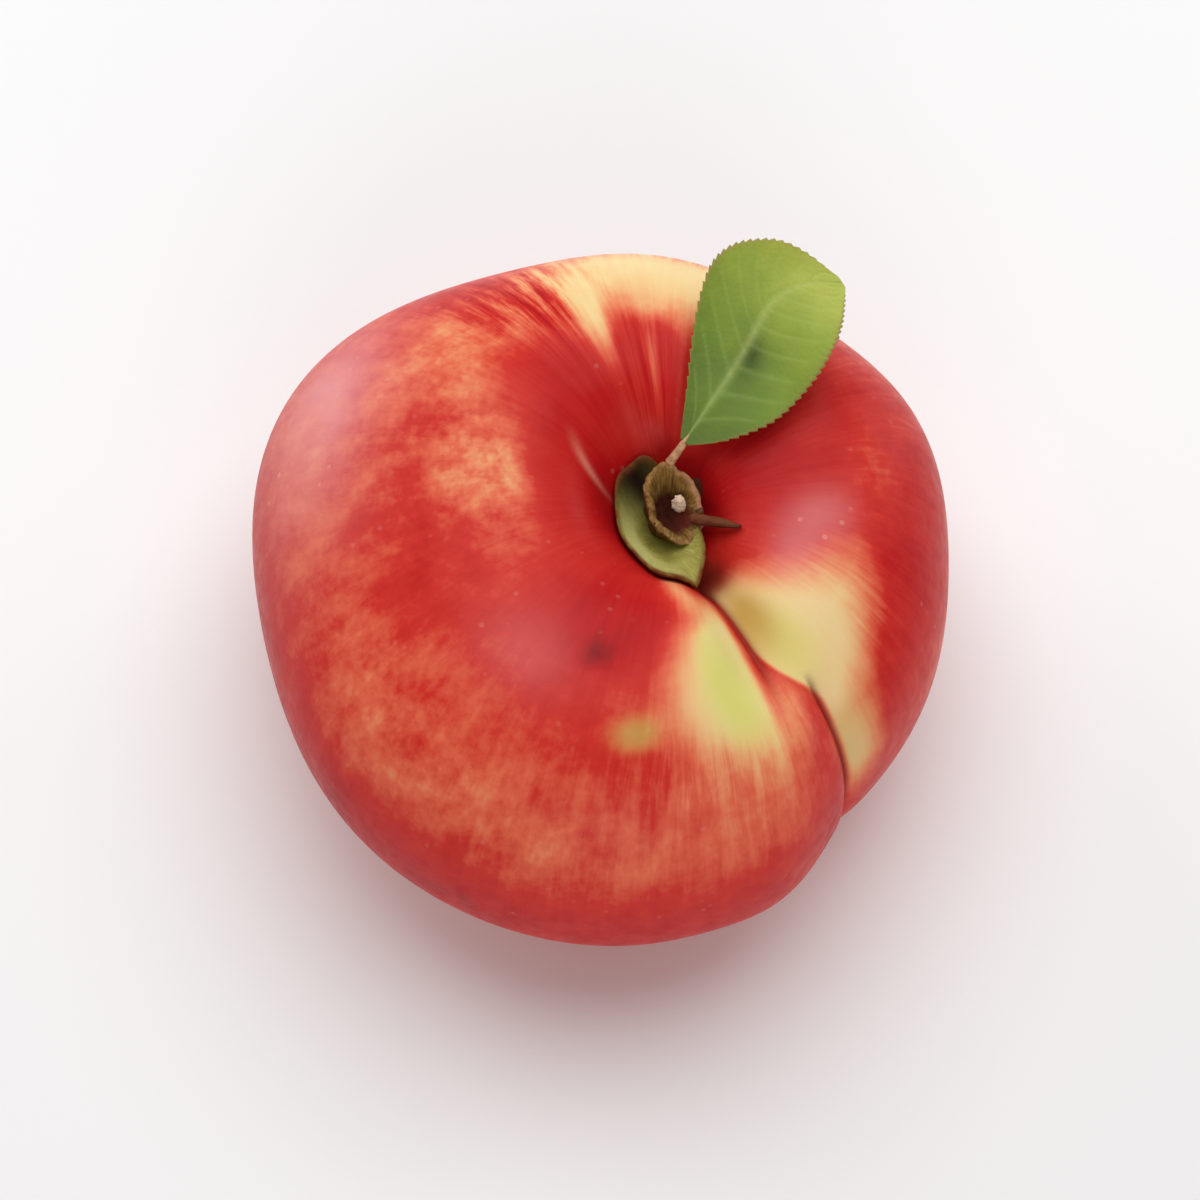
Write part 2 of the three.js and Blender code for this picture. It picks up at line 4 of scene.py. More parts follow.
import bpy
import numpy as np
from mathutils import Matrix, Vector


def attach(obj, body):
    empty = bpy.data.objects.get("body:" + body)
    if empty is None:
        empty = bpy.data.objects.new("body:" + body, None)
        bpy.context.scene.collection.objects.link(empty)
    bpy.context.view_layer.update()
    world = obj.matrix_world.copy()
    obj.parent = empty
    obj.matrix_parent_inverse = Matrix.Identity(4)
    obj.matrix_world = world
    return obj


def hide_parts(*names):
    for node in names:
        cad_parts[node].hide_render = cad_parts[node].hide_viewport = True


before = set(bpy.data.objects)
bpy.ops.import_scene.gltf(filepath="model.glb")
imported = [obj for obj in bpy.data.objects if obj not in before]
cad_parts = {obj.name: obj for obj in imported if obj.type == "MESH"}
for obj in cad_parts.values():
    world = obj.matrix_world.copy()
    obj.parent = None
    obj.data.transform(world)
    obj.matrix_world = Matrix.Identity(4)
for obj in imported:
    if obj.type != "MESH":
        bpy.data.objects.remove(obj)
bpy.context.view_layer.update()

DEG = math.pi / 180
MM = 0.001

# Body of the fruit, in millimetres, as in the part's source
MEAN_RADIUS = 34.3
TOP_RISE = 21.6
BASE_DROP = 20.4
SHOULDER_POWER = 2.25
STEM_SHIFT = 6.7
STEM_SHIFT_AZIMUTH = 16 * DEG
OUTLINE_WAVES = (
    (2, 0.69, 86 * DEG),
    (3, 1.08, 27 * DEG),
    (4, -0.5, 25 * DEG),
    (5, 0.46, 19 * DEG),
    (6, 0.35, 33 * DEG),
)
CREST_WAVES = ((1, 0.9, 205 * DEG), (2, 0.5, 120 * DEG))

# Stem cavity
FUNNEL_DEPTH = 7.6
FUNNEL_RADIUS = 12.6
FUNNEL_SPREAD = 0.16
FUNNEL_AZIMUTH = -35 * DEG
PIT_DEPTH = 4.6
PIT_LONG = 8.4
PIT_SHORT = 5.3
PIT_CENTRE = (-0.75, -1.2)
PIT_AZIMUTH = -65 * DEG
PIT_POWER = 3
CAVITY_RISES = (-0.05, 0.4)

# Blossom end and the ring that the fruit rests on
BASIN_DEPTH = 3.6
BASIN_RADIUS = 10.5
RINGS_SLIDE = (95 * DEG, 165 * DEG)
FLAT_CUT = 0.18

# Suture
CREASE_DEPTH = 1.3
CREASE_LEFT_WIDTH = 0.55
CREASE_RIGHT_WIDTH = 1.5
INNER_AZIMUTH = -64 * DEG
INNER_CURL = -5.5 * DEG
INNER_CURL_START = 13 * DEG
INNER_CURL_FALL = 12 * DEG
INNER_COMES = (7 * DEG, 13 * DEG)
INNER_GOES = (40 * DEG, 56 * DEG)
OUTER_AZIMUTH = -55 * DEG
OUTER_DRIFT = -5 * DEG
OUTER_DRIFTS = (80 * DEG, 160 * DEG)
OUTER_COMES = (46 * DEG, 56 * DEG)
OUTER_SOFTENS = (100 * DEG, 150 * DEG)
OUTER_SOFTNESS = 0.7
OUTER_GOES = (160 * DEG, 174 * DEG)
VALLEY_CROSSES = (34 * DEG, 58 * DEG)
VALLEY_COMES = (5 * DEG, 16 * DEG)
VALLEY_GOES = (150 * DEG, 175 * DEG)
VALLEY_TOP_DEPTH = 3.6
VALLEY_SIDE_DEPTH = 1.2
VALLEY_BASE_DEPTH = 0.6
VALLEY_RISES = (25 * DEG, 75 * DEG)
VALLEY_FLATTENS = (95 * DEG, 150 * DEG)
VALLEY_LEFT_SPREAD = 9 * DEG
VALLEY_RIGHT_SPREAD = 26 * DEG
LIP_HEIGHT = 0.7
LIP_TURN = -17 * DEG
LIP_SPREAD = 9 * DEG
LIP_GOES = (95 * DEG, 135 * DEG)
KNOB_HEIGHT = 0.55
KNOB_AZIMUTH = -62.5 * DEG
KNOB_FALL = 53 * DEG
KNOB_LENGTH = 4.5
KNOB_WIDTH = 1.6

# Pleats round the cavity, and slow swells of the skin
PLEATS_COME = (8 * DEG, 15 * DEG)
PLEATS_GO = (24 * DEG, 48 * DEG)
PLEATS = (
    (96, 5, -0.45),
    (112, 5, 0.35),
    (84, 5, 0.3),
    (132, 7, -0.35),
    (150, 8, 0.3),
    (60, 8, -0.25),
    (10, 9, -0.3),
)
SWELL_HEIGHT = 0.35
LOWER_SWELL_HEIGHT = 0.22
LOBE_HEIGHT = 0.9
LOBE_AZIMUTH = -150 * DEG
LOBE_SPREAD = 42 * DEG
LOBE_RISES = (-0.6, 0.6)

# Grids: the solid's own, which sets where the stem stands, and the fine one drawn here.
# Heights near the stem are searched for down to a fall, in steps that halve the rest.
SOLID_TURNS, SOLID_ROWS = 80, 38
SKIN_TURNS, SKIN_ROWS = 420, 220
TURN_CROWDING = 0.5
ROW_CROWDING = 0.62
SEARCH_FALL = 75 * DEG
SEARCH_STEPS = 30

# Bark collar
COLLAR_LONG = 7.4
COLLAR_SHORT = 3.8
COLLAR_CENTRE = (-0.9, -2.1)
COLLAR_AZIMUTH = -72 * DEG
COLLAR_THICKNESS = 0.9
COLLAR_RISE = 2.0
COLLAR_RISE_WAVE = 0.8
COLLAR_HIGH_AZIMUTH = 222 * DEG
COLLAR_DISH_POWER = 2.2
COLLAR_WOBBLE = ((3, 0.025, 0.7), (7, 0.02, 0))

# Woody stub; a bud scale has its turn, distance, height, half width, half length and darkness
STUB_CENTRE = (0.4, -0.3)
STUB_RIM = (2.65, 3.5)
STUB_TURN = 25 * DEG
STUB_FOOT = (2.0, 2.2)
STUB_FOOT_SHIFT = (-0.5, -0.3)
STUB_HEIGHT = 3.0
STUB_SLANT = 1.95
STUB_FLOOR = 1.1
BUD_SCALES = (
    (110, 2.75, 2.9, 1.0, 1.9, 0.3),
    (150, 2.5, 2.3, 0.9, 1.6, 0.6),
    (185, 2.3, 1.9, 0.8, 1.3, 0.85),
    (225, 2.3, 1.4, 0.8, 1.1, 0.85),
    (345, 2.3, 1.7, 0.8, 1.2, 0.4),
    (40, 2.6, 2.6, 0.9, 1.6, 0.9),
)
SPUR_PATH = ((1.8, -1.0, 1.9), (3.1, -1.5, 2.3), (4.6, -2.1, 2.85), (6.2, -2.8, 3.5))
SPUR_RADII = (0.56, 0.54, 0.44, 0.18)
GAP = 0.35

# Leaf: its midrib and both edges, from the stalk to the tip
LEAF_MIDRIB = (
    (1.3, 4.2), (3.4, 7.4), (5.7, 10.8), (7.3, 13.5), (8.5, 15.7),
    (9.7, 17.5), (11.5, 18.7), (13.8, 19.2), (16.3, 19.1),
)
LEAF_LEFT = (
    (1.0, 4.6), (1.6, 9.3), (2.2, 14.4), (3.1, 18.5), (4.5, 21.5),
    (6.9, 23.1), (9.9, 23.1), (13.1, 21.6), (15.9, 19.7),
)
LEAF_RIGHT = (
    (1.7, 3.9), (5.7, 4.1), (9.3, 5.5), (12.0, 7.8), (14.0, 10.0),
    (15.4, 12.4), (16.2, 14.7), (16.5, 16.8), (16.6, 18.6),
)
LEAF_START_HEIGHT = 8.0
LEAF_SLOPE = 0.2165
LEAF_THICKNESS = 0.45
LEAF_CUP = 0.9
LEAF_RIPPLE = 0.35
LEAF_TIP_LIFT = 1.0
LEAF_ROWS = 264
LEAF_HALF_COLUMNS = 18
LEAF_TEETH = 33
LEAF_TOOTH = 0.3
STALK_ROOT = (0.0, 3.1, 5.9)
STALK_STATIONS = ((0.0, 0.35), (0.06, 0.66), (0.14, 0.66), (0.26, 0.66))
STALK_RADII = (0.46, 0.34, 0.36, 0.3, 0.16)
STALK_STEPS, STALK_SIDES = 60, 16


def bell(x, width):
    return np.exp(-((x / width) ** 2))


def fades_in(span, x):
    return np.clip((x - span[0]) / (span[1] - span[0]), 0, 1)


def comes(span, x):
    share = fades_in(span, x)
    return share * share * (3 - 2 * share)


def goes(span, x):
    return 1 - comes(span, x)


def lerp(start, end, share):
    return start + (end - start) * share


def wrap(angle):
    return angle - 2 * np.pi * np.round(angle / (2 * np.pi))


def full_turn(count):
    return np.arange(count) / count * 2 * np.pi


def waves(azimuth, terms):
    return sum(height * np.cos(count * (azimuth - crest)) for count, height, crest in terms)


def ripples(turn, terms):
    return sum(height * np.sin(count * turn + phase) for count, height, phase in terms)


def rim_radius(azimuth):
    """Distance from the stem's axis to the widest outline of the fruit."""
    middle_radius = MEAN_RADIUS + waves(azimuth, OUTLINE_WAVES)
    turn = azimuth - STEM_SHIFT_AZIMUTH
    across = STEM_SHIFT * np.sin(turn)
    return np.sqrt(middle_radius**2 - across**2) - STEM_SHIFT * np.cos(turn)


def pit_distance(x, y):
    """Distance from the middle of the oval pit, where 1 is half way up its wall."""
    dx = x - PIT_CENTRE[0]
    dy = y - PIT_CENTRE[1]
    along = dx * math.cos(PIT_AZIMUTH) + dy * math.sin(PIT_AZIMUTH)
    across = dy * math.cos(PIT_AZIMUTH) - dx * math.sin(PIT_AZIMUTH)
    return np.hypot(along / PIT_LONG, across / PIT_SHORT)


def crease(across):
    """A crease is steep on its left side and gentler on its right."""
    width = np.where(across < 0, CREASE_LEFT_WIDTH, CREASE_RIGHT_WIDTH)
    return -CREASE_DEPTH * np.exp(-np.abs(across) / width)


def suture_lines(fall):
    """Azimuths of the inner crease, the outer crease and the valley that holds them both."""
    beyond_curl = np.maximum(fall - INNER_CURL_START, 0)
    inner = INNER_AZIMUTH + INNER_CURL * np.exp(-beyond_curl / INNER_CURL_FALL)
    outer = OUTER_AZIMUTH + OUTER_DRIFT * comes(OUTER_DRIFTS, fall)
    valley = lerp(inner, outer, comes(VALLEY_CROSSES, fall))
    return inner, outer, valley


def suture_relief(azimuth, fall, radius):
    inner, outer, valley = suture_lines(fall)
    on_inner = comes(INNER_COMES, fall) * goes(INNER_GOES, fall)
    softened = 1 - OUTER_SOFTNESS * comes(OUTER_SOFTENS, fall)
    on_outer = comes(OUTER_COMES, fall) * goes(OUTER_GOES, fall) * softened
    relief = on_inner * crease(wrap(azimuth - inner) * radius)
    relief += on_outer * crease(wrap(azimuth - outer) * radius)

    turn = wrap(azimuth - valley)
    spread = np.where(turn < 0, VALLEY_LEFT_SPREAD, VALLEY_RIGHT_SPREAD)
    in_valley = comes(VALLEY_COMES, fall) * goes(VALLEY_GOES, fall)
    depth = VALLEY_SIDE_DEPTH
    depth = depth + (VALLEY_TOP_DEPTH - VALLEY_SIDE_DEPTH) * goes(VALLEY_RISES, fall)
    depth = depth + (VALLEY_BASE_DEPTH - VALLEY_SIDE_DEPTH) * comes(VALLEY_FLATTENS, fall)
    relief -= depth * in_valley * bell(turn, spread)
    relief += LIP_HEIGHT * in_valley * goes(LIP_GOES, fall) * bell(turn - LIP_TURN, LIP_SPREAD)

    along_knob = (fall - KNOB_FALL) * radius
    across_knob = wrap(azimuth - KNOB_AZIMUTH) * radius
    return relief + KNOB_HEIGHT * bell(along_knob, KNOB_LENGTH) * bell(across_knob, KNOB_WIDTH)


def pleat_relief(azimuth, fall):
    pleats = sum(
        height * bell(wrap(azimuth - turn * DEG), width * DEG) for turn, width, height in PLEATS
    )
    return pleats * comes(PLEATS_COME, fall) * goes(PLEATS_GO, fall)


def swell_relief(azimuth, fall):
    swell = SWELL_HEIGHT * np.sin(3 * azimuth + 1.1) * np.sin(2 * fall + 0.4)
    lower_swell = LOWER_SWELL_HEIGHT * np.sin(5 * azimuth - 0.6) * np.sin(3 * fall)
    around_lobe = bell(wrap(azimuth - LOBE_AZIMUTH), LOBE_SPREAD)
    lobe = LOBE_HEIGHT * around_lobe * comes(LOBE_RISES, np.cos(fall))
    return np.sin(fall) ** 2 * (swell + lower_swell + lobe)


def skin_points(azimuth, fall):
    """Skin points for azimuths about the stem and falls from 0 at the stem to pi below."""
    out = np.sin(fall) ** (2 / SHOULDER_POWER)
    up = np.sign(np.cos(fall)) * np.abs(np.cos(fall)) ** (2 / SHOULDER_POWER)
    slide = comes(RINGS_SLIDE, fall)
    radius = lerp(rim_radius(azimuth), MEAN_RADIUS, slide) * out

    funnel_radius = FUNNEL_RADIUS * (1 + FUNNEL_SPREAD * np.cos(azimuth - FUNNEL_AZIMUTH))
    funnel = FUNNEL_DEPTH * bell(radius, funnel_radius)
    from_pit = pit_distance(radius * np.cos(azimuth), radius * np.sin(azimuth))
    pit = PIT_DEPTH * np.exp(-(from_pit**PIT_POWER))
    top = (TOP_RISE + waves(azimuth, CREST_WAVES) * comes((0, 1), out)) * up
    top = top - (funnel + pit) * comes(CAVITY_RISES, up)
    base = BASE_DROP * up + BASIN_DEPTH * bell(radius, BASIN_RADIUS)
    z = np.where(up > 0, top, base)

    relief = suture_relief(azimuth, fall, radius)
    relief += pleat_relief(azimuth, fall) + swell_relief(azimuth, fall)
    radius = np.maximum(radius + relief * np.sin(fall), 0)
    z = z + relief * np.cos(fall)
    x = radius * np.cos(azimuth) - slide * STEM_SHIFT * math.cos(STEM_SHIFT_AZIMUTH)
    y = radius * np.sin(azimuth) - slide * STEM_SHIFT * math.sin(STEM_SHIFT_AZIMUTH)
    return np.stack([x, y, z], axis=-1)


def skin_grid(turns, rows):
    """Azimuths and falls of a grid whose rings all start on the suture and crowd there."""
    v = np.arange(rows + 1)[:, None] / rows
    fall = np.pi * (v - ROW_CROWDING * np.sin(2 * np.pi * v) / (2 * np.pi))
    u = full_turn(turns)[None, :]
    azimuth = suture_lines(fall)[2] + u - TURN_CROWDING * np.sin(u)
    fall = np.broadcast_to(np.clip(fall, 0, np.pi), azimuth.shape)
    return azimuth, fall


def skin_height(x, y):
    """Height of the skin above or below points near the stem."""
    azimuth = np.arctan2(y, x)
    wanted = np.hypot(x, y)
    low = np.zeros_like(wanted)
    high = np.full_like(wanted, SEARCH_FALL)
    for _ in range(SEARCH_STEPS):
        middle = (low + high) / 2
        point = skin_points(azimuth, middle)
        short = np.hypot(point[..., 0], point[..., 1]) < wanted
        low = np.where(short, middle, low)
        high = np.where(short, high, middle)
    return skin_points(azimuth, low)[..., 2]


# Place of the stem's axis: the solid's own grid is centred in plan and stands on the floor
solid_skin = skin_points(*skin_grid(SOLID_TURNS, SOLID_ROWS))
lowest = solid_skin[..., 2].min() + FLAT_CUT
plan_middle = (solid_skin.min(axis=(0, 1)) + solid_skin.max(axis=(0, 1))) / 2
ORIGIN = np.array([plan_middle[0], plan_middle[1], lowest])
PIT_FLOOR = float(skin_height(np.array(0.0), np.array(0.0)))


# Mesh helpers. The first and the last ring of a ring grid have shrunk to one point.
def ring_faces(rows, turns):
    last = 1 + (rows - 2) * turns
    final = last - turns
    faces = [(0, 1 + k, 1 + (k + 1) % turns) for k in range(turns)]
    for start in range(1, final, turns):
        for k in range(turns):
            n = (k + 1) % turns
            faces.append((start + k, start + turns + k, start + turns + n, start + n))
    faces += [(final + k, last, final + (k + 1) % turns) for k in range(turns)]
    return faces


def pole_rows(grid):
    """Turns a ring grid, or a number at each of its points, into one row per vertex."""
    return np.concatenate([grid[0][:1], *grid[1:-1], grid[-1][:1]])


def make_piece(name, points, faces, material):
    """Makes one smooth piece from stem-centred millimetres, riding on the fruit's body."""
    mesh = bpy.data.meshes.new(name)
    placed = (np.asarray(points) - ORIGIN) * MM
    mesh.from_pydata(placed.tolist(), [], faces)
    mesh.shade_smooth()
    mesh.materials.append(material)
    piece = bpy.data.objects.new(name, mesh)
    bpy.context.scene.collection.objects.link(piece)
    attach(piece, "root")
    return piece


def make_round_piece(name, grid, material):
    rows, turns = grid.shape[:2]
    return make_piece(name, pole_rows(grid), ring_faces(rows, turns), material)


def add_number(piece, name, values):
    attribute = piece.data.attributes.new(name, "FLOAT", "POINT")
    attribute.data.foreach_set("value", np.asarray(values, dtype=np.float32).ravel())


def add_vector(piece, name, values):
    attribute = piece.data.attributes.new(name, "FLOAT_VECTOR", "POINT")
    attribute.data.foreach_set("vector", np.asarray(values, dtype=np.float32).ravel())


def add_grain(piece, turn, rise):
    """Gives a piece a vector for its fibres, which runs round it and along it."""
    grain = np.stack(np.broadcast_arrays(np.cos(turn), np.sin(turn), rise), axis=-1)
    add_vector(piece, "grain", pole_rows(grain))


def spline(points, shares):
    """Points on a Catmull-Rom curve through evenly counted stations."""
    stations = np.asarray(points, dtype=float)
    last = len(stations) - 1
    place = np.clip(np.asarray(shares, dtype=float), 0, 1) * last
    k = np.minimum(place.astype(int), last - 1)
    s = (place - k)[..., None]
    p = stations[np.maximum(k - 1, 0)]
    q = stations[k]
    r = stations[k + 1]
    w = stations[np.minimum(k + 2, last)]
    return q + 0.5 * s * (r - p + s * (2 * p - 5 * q + 4 * r - w + s * (3 * (q - r) + w - p)))


def tube(path, radii, steps, sides, roughness):
    """Ring grid of a round tube of changing radius, closed with a point at each end."""
    shares = np.linspace(0, 1, steps + 1)
    centres = spline(path, shares)
    radius = spline(np.asarray(radii)[:, None], shares)
    tangents = np.gradient(centres, axis=0)
    tangents /= np.linalg.norm(tangents, axis=1)[:, None]
    side = np.cross(tangents, [0.0, 0.0, 1.0])
    side /= np.linalg.norm(side, axis=1)[:, None]
    top = np.cross(side, tangents)
    turn = full_turn(sides)[None, :]
    along = shares[:, None]
    wobble = 1 + roughness * np.sin(3 * turn + 9 * along)
    wobble = wobble + 0.6 * roughness * np.sin(5 * turn - 23 * along)
    reach = (radius * wobble)[..., None]
    sideways = np.cos(turn)[..., None] * side[:, None, :]
    upwards = np.sin(turn)[..., None] * top[:, None, :]
    rings = centres[:, None, :] + reach * (sideways + upwards)
    first = np.broadcast_to(centres[:1, None, :], (1, sides, 3))
    last = np.broadcast_to(centres[-1:, None, :], (1, sides, 3))
    return np.concatenate([first, rings, last])


# Colours are written as the eye sees them, from 0 to 255
def colour(red, green, blue):
    seen = np.array([red, green, blue]) / 255
    linear = np.where(seen <= 0.04045, seen / 12.92, ((seen + 0.055) / 1.055) ** 2.4)
    return (*linear.tolist(), 1.0)


class Shader:
    """A material's node tree, with short calls to add nodes and join them."""

    def __init__(self, name, **settings):
        self.material = bpy.data.materials.new(name)
        self.material.use_nodes = True
        self.nodes = self.material.node_tree.nodes
        self.links = self.material.node_tree.links
        self.principled = self.nodes["Principled BSDF"]
        self.fill(self.principled, settings)

    def join(self, source, target):
        if isinstance(source, bpy.types.NodeSocket):
            self.links.new(source, target)
        else:
            target.default_value = source

    def fill(self, node, values):
        for socket, value in values.items():
            self.join(value, node.inputs[socket.replace("_", " ")])

    def add(self, kind, **values):
        """Adds a node whose inputs are numbers or the outputs of other nodes."""
        node = self.nodes.new("ShaderNode" + kind)
        self.fill(node, values)
        return node

    def attribute(self, name, output="Fac"):
        node = self.add("Attribute")
        node.attribute_name = name
        return node.outputs[output]

    def place(self):
        return self.add("TexCoord").outputs["Object"]

    def scaled(self, vector, scale):
        return self.add("Mapping", Vector=vector, Scale=scale).outputs["Vector"]

    def noise(self, vector, scale, detail=3.0, roughness=0.55, distortion=0.0):
        node = self.add("TexNoise", Vector=vector, Scale=scale, Detail=detail)
        self.fill(node, {"Roughness": roughness, "Distortion": distortion})
        return node.outputs["Fac"]

    def spots(self, vector, scale):
        """Distance from the middle of the nearest of many scattered spots."""
        return self.add("TexVoronoi", Vector=vector, Scale=scale).outputs["Distance"]

    def math(self, operation, first, second, clamp=False):
        node = self.add("Math")
        node.operation = operation
        node.use_clamp = clamp
        self.join(first, node.inputs[0])
        self.join(second, node.inputs[1])
        return node.outputs["Value"]

    def times(self, first, second):
        return self.math("MULTIPLY", first, second)

    def plus(self, first, second, clamp=False):
        return self.math("ADD", first, second, clamp)

    def minus(self, first, second):
        return self.math("SUBTRACT", first, second)

    def span(self, value, low, high, to_low=0.0, to_high=1.0):
        """Maps a value from one span to another, held at its ends."""
        node = self.add("MapRange", Value=value, From_Min=low, From_Max=high)
        self.fill(node, {"To Min": to_low, "To Max": to_high})
        node.interpolation_type = "SMOOTHSTEP"
        return node.outputs["Result"]

    def ramp(self, value, stops):
        node = self.add("ValToRGB", Fac=value)
        elements = node.color_ramp.elements
        while len(elements) < len(stops):
            elements.new(0.5)
        for element, (place, shade) in zip(elements, stops):
            element.position = place
            element.color = colour(*shade)
        return node.outputs["Color"]

    def tint(self, base, share, shade):
        """Mixes a colour in over the base colour, by a share."""
        node = self.add("Mix", Factor=share)
        node.data_type = "RGBA"
        colours = [socket for socket in node.inputs if socket.type == "RGBA"]
        self.join(base, colours[0])
        self.join(colour(*shade), colours[1])
        return next(socket for socket in node.outputs if socket.type == "RGBA")

    def tints(self, base, shades):
        """Tints the base colour wherever a piece's marks are strong, one mark after another."""
        for mark, share, shade in shades:
            base = self.tint(base, self.times(self.attribute(mark), share), shade)
        return base

    def bump(self, height, distance, strength, normal=None):
        node = self.add("Bump", Height=height, Distance=distance, Strength=strength)
        if normal is not None:
            self.join(normal, node.inputs["Normal"])
        return node.outputs["Normal"]

    def finish(self, base, roughness, normal=None):
        self.fill(self.principled, {"Base Color": base, "Roughness": roughness})
        if normal is not None:
            self.join(normal, self.principled.inputs["Normal"])
        return self.material


# Skin markings, in degrees: ovals of one name add up
OVALS = (
    ("side_orange", 168, 33, 34, 15, 1.4),
    ("upper_orange", 145, 38, 15, 10),
    ("flank_orange", 172, 60, 34, 15),
    ("low_orange", -137, 58, 26, 17, 1.3),
    ("low_front", -104, 66, 24, 16),
    ("front_fleck", -97, 40.5, 4.5, 3, 1.4),
    ("front_orange", -76, 62, 15, 16),
    ("lip_orange", -63, 50, 5, 8),
    ("tail_orange", -51, 74, 5, 16),
    ("right_orange", 4, 41, 15, 8),
    ("back_mottle", -8, 92, 18, 12),
    ("back_mottle", 52, 84, 24, 20),
    ("back_mottle", 105, 78, 20, 12),
    ("top_band", 90, 55, 28, 26, 2.4),
    ("top_tongue", 113, 33, 5.5, 13, 1.6),
    ("left_wall", 134, 18, 26, 10, 1.8),
    ("left_wall", -172, 9, 44, 7, 1.6),
    ("right_wall", 26, 22, 46, 18, 1.6),
    ("far_wall", 98, 19, 13, 12, 3),
    ("far_light", 97, 22, 2.6, 8),
    ("far_left_light", 106, 18, 2, 6),
    ("front_red", -112, 20, 22, 11, 1.5),
    ("crest_red", 130, 52, 9, 9),
    ("edge_red", -95, 94, 60, 12),
    # Painted shade, deepening the red low on the fruit's front left
    ("lower_left_shade", -140, 88, 50, 16),
    ("outer_right", -16, 64, 40, 18),
    ("smudge", -110, 27.5, 4, 2.6),
    ("crest_streaks", 122, 44, 14, 15, 1.3),
    ("soft_streaks", -30, 44, 10, 24),
    ("soft_streaks", -94, 46, 9, 9),
    ("soft_streaks", -78, 52, 14, 6),
    ("soft_streaks", 60, 60, 60, 30),
    ("band_streaks", 88, 70, 34, 12, 1.5),
    ("left_green", -76, 37, 7, 16, 1.4, 0.3),
    ("right_green", -55, 38, 8, 12, 1.3),
    ("valley_ochre", -59, 27, 8, 11, 1.2),
    ("left_crimson", -171, 78, 40, 14),
    # Painted sheen: pale pink highlights on the left rim, the right wall and the front, partly the
    # skin's waxy bloom
    ("left_sheen", 165, 55, 17, 11),
    ("low_sheen", 165, 68, 24, 12),
    ("side_sheen", -9, 30, 11, 7),
    ("side_sheen", -27, 26, 16, 6),
    ("low_sheen", -127, 32, 12, 7),
    # Painted shade in the gap right of the collar's lower end, against the cavity wall
    ("groove_shade", -60, 13, 11, 5.5, 1.4),
)

# Marks of other forms
SIDE_YELLOW_AZIMUTH, SIDE_YELLOW_SPREAD = 178, 25
SIDE_YELLOW_COMES = (15.5, 20)
SIDE_YELLOW_GOES = (21, 36)
UNDERSIDE_COMES = (105, 160)
TAIL_COMES = (56, 66)
PIT_SHADE_GOES = (4, 11)
TOP_BAND_FADES = (80, 52)
PALE_LIP_LEAN, PALE_LIP_AZIMUTH, PALE_LIP_SPREAD = 1.2, -104, 6
PALE_LIP_COMES = (9, 12)
PALE_LIP_GOES = (17, 25)
PALE_LINE_AZIMUTH, PALE_LINE_FALL, PALE_LINE_LEAN = 162, 9.3, 3
PALE_LINE_WIDTH, PALE_LINE_LENGTH = 3, 2.4

# Pale patches on both sides of the suture
LEFT_PATCH_FALLS = (12, 17, 23, 30, 37, 44, 55)
LEFT_PATCH_EDGE = (-78, -84, -90, -93, -93, -90, -84)
LEFT_PATCH_SOFTNESS = (-4, 13)
LEFT_PATCH_FROM_CREASE = (0.8, 6)
LEFT_PATCH_COMES = (14, 25)
LEFT_PATCH_GOES = (59, 40)
LEFT_PATCH_SLANT = 0.25
RIGHT_PATCH_FALLS = (12, 17, 22, 28, 34, 40, 46, 51, 57, 64, 72, 82, 94)
RIGHT_PATCH_EDGE = (-58, -53, -44, -34, -27, -23, -27, -33, -41, -47, -47, -47, -50)
RIGHT_SOFT_FALLS = (15, 30, 45, 60, 75)
RIGHT_SOFTNESS = (13, 15, 14, 8, 5)
RIGHT_PATCH_FROM_VALLEY = (0.2, 2.0)
RIGHT_PATCH_COMES = (11, 19)
RIGHT_PATCH_GOES = (74, 98)

# Painted shade along each crease, as a dark line: shift and half width in millimetres, start and
# end in degrees
INNER_SHADE_LINE = (0.15, 0.5, (9, 13), (36, 50), 0.75)
OUTER_SHADE_LINE = (0.1, 0.42, (46, 53), (80, 115), 0.8)

SKIN_RAMP = (
    (0.0, (240, 222, 164)),
    (0.14, (242, 202, 142)),
    (0.3, (238, 156, 108)),
    (0.46, (228, 104, 74)),
    (0.62, (208, 50, 40)),
    (0.8, (186, 20, 22)),
    (1.0, (134, 8, 18)),
)
SKIN_TINTS = (("ochre", 0.95, (190, 152, 70)), ("crimson", 0.5, (168, 14, 34)))
# The crease tint is painted shade along each suture crease and in the groove beside the collar
LINE_TINTS = (("pale_line", 0.55, (236, 160, 136)), ("crease", 0.85, (112, 36, 24)))

# What the marks add to each field of the skin; blush runs from 0, yellow, to 1, the deepest red
BLUSH = {
    "base": 0.65, "side_yellow": -0.28, "side_orange": -0.05, "upper_orange": -0.24,
    "flank_orange": -0.15, "low_orange": -0.14, "low_front": -0.12, "front_orange": -0.22,
    "right_orange": -0.1, "lip_orange": -0.2, "tail_orange": -0.22, "back_mottle": -0.14,
    "underside": -0.24, "left_wall": 0.12, "right_wall": 0.12, "front_red": 0.16,
    "crest_red": 0.12, "edge_red": 0.08, "lower_left_shade": 0.1, "outer_right": 0.08, "smudge": 0.2,
    # the pit's share is painted shade deep in the stem cavity
    "pit": 0.2,
}
BLUSH_OVER_BAND = {"far_wall": 0.12, "far_light": -0.3, "far_left_light": -0.18, "pale_and_lit_lip": -0.34}
PALES = {"pale_top": 0.88, "left_patch": 0.95, "right_patch": 0.87, "front_fleck": 0.35}
MOTTLE = {
    "base": 0.16, "side_yellow": 0.26, "side_orange": 0.16, "upper_orange": 0.12,
    "flank_orange": 0.1, "low_orange": 0.12, "low_front": 0.06, "right_orange": 0.12,
    "back_mottle": 0.2, "underside": 0.2,
}
CALM = {
    "left_wall": 1, "right_wall": 0.7, "far_wall": 1, "front_red": 1, "left_patch": 1,
    "right_patch": 1,
}
CALMING = 0.8
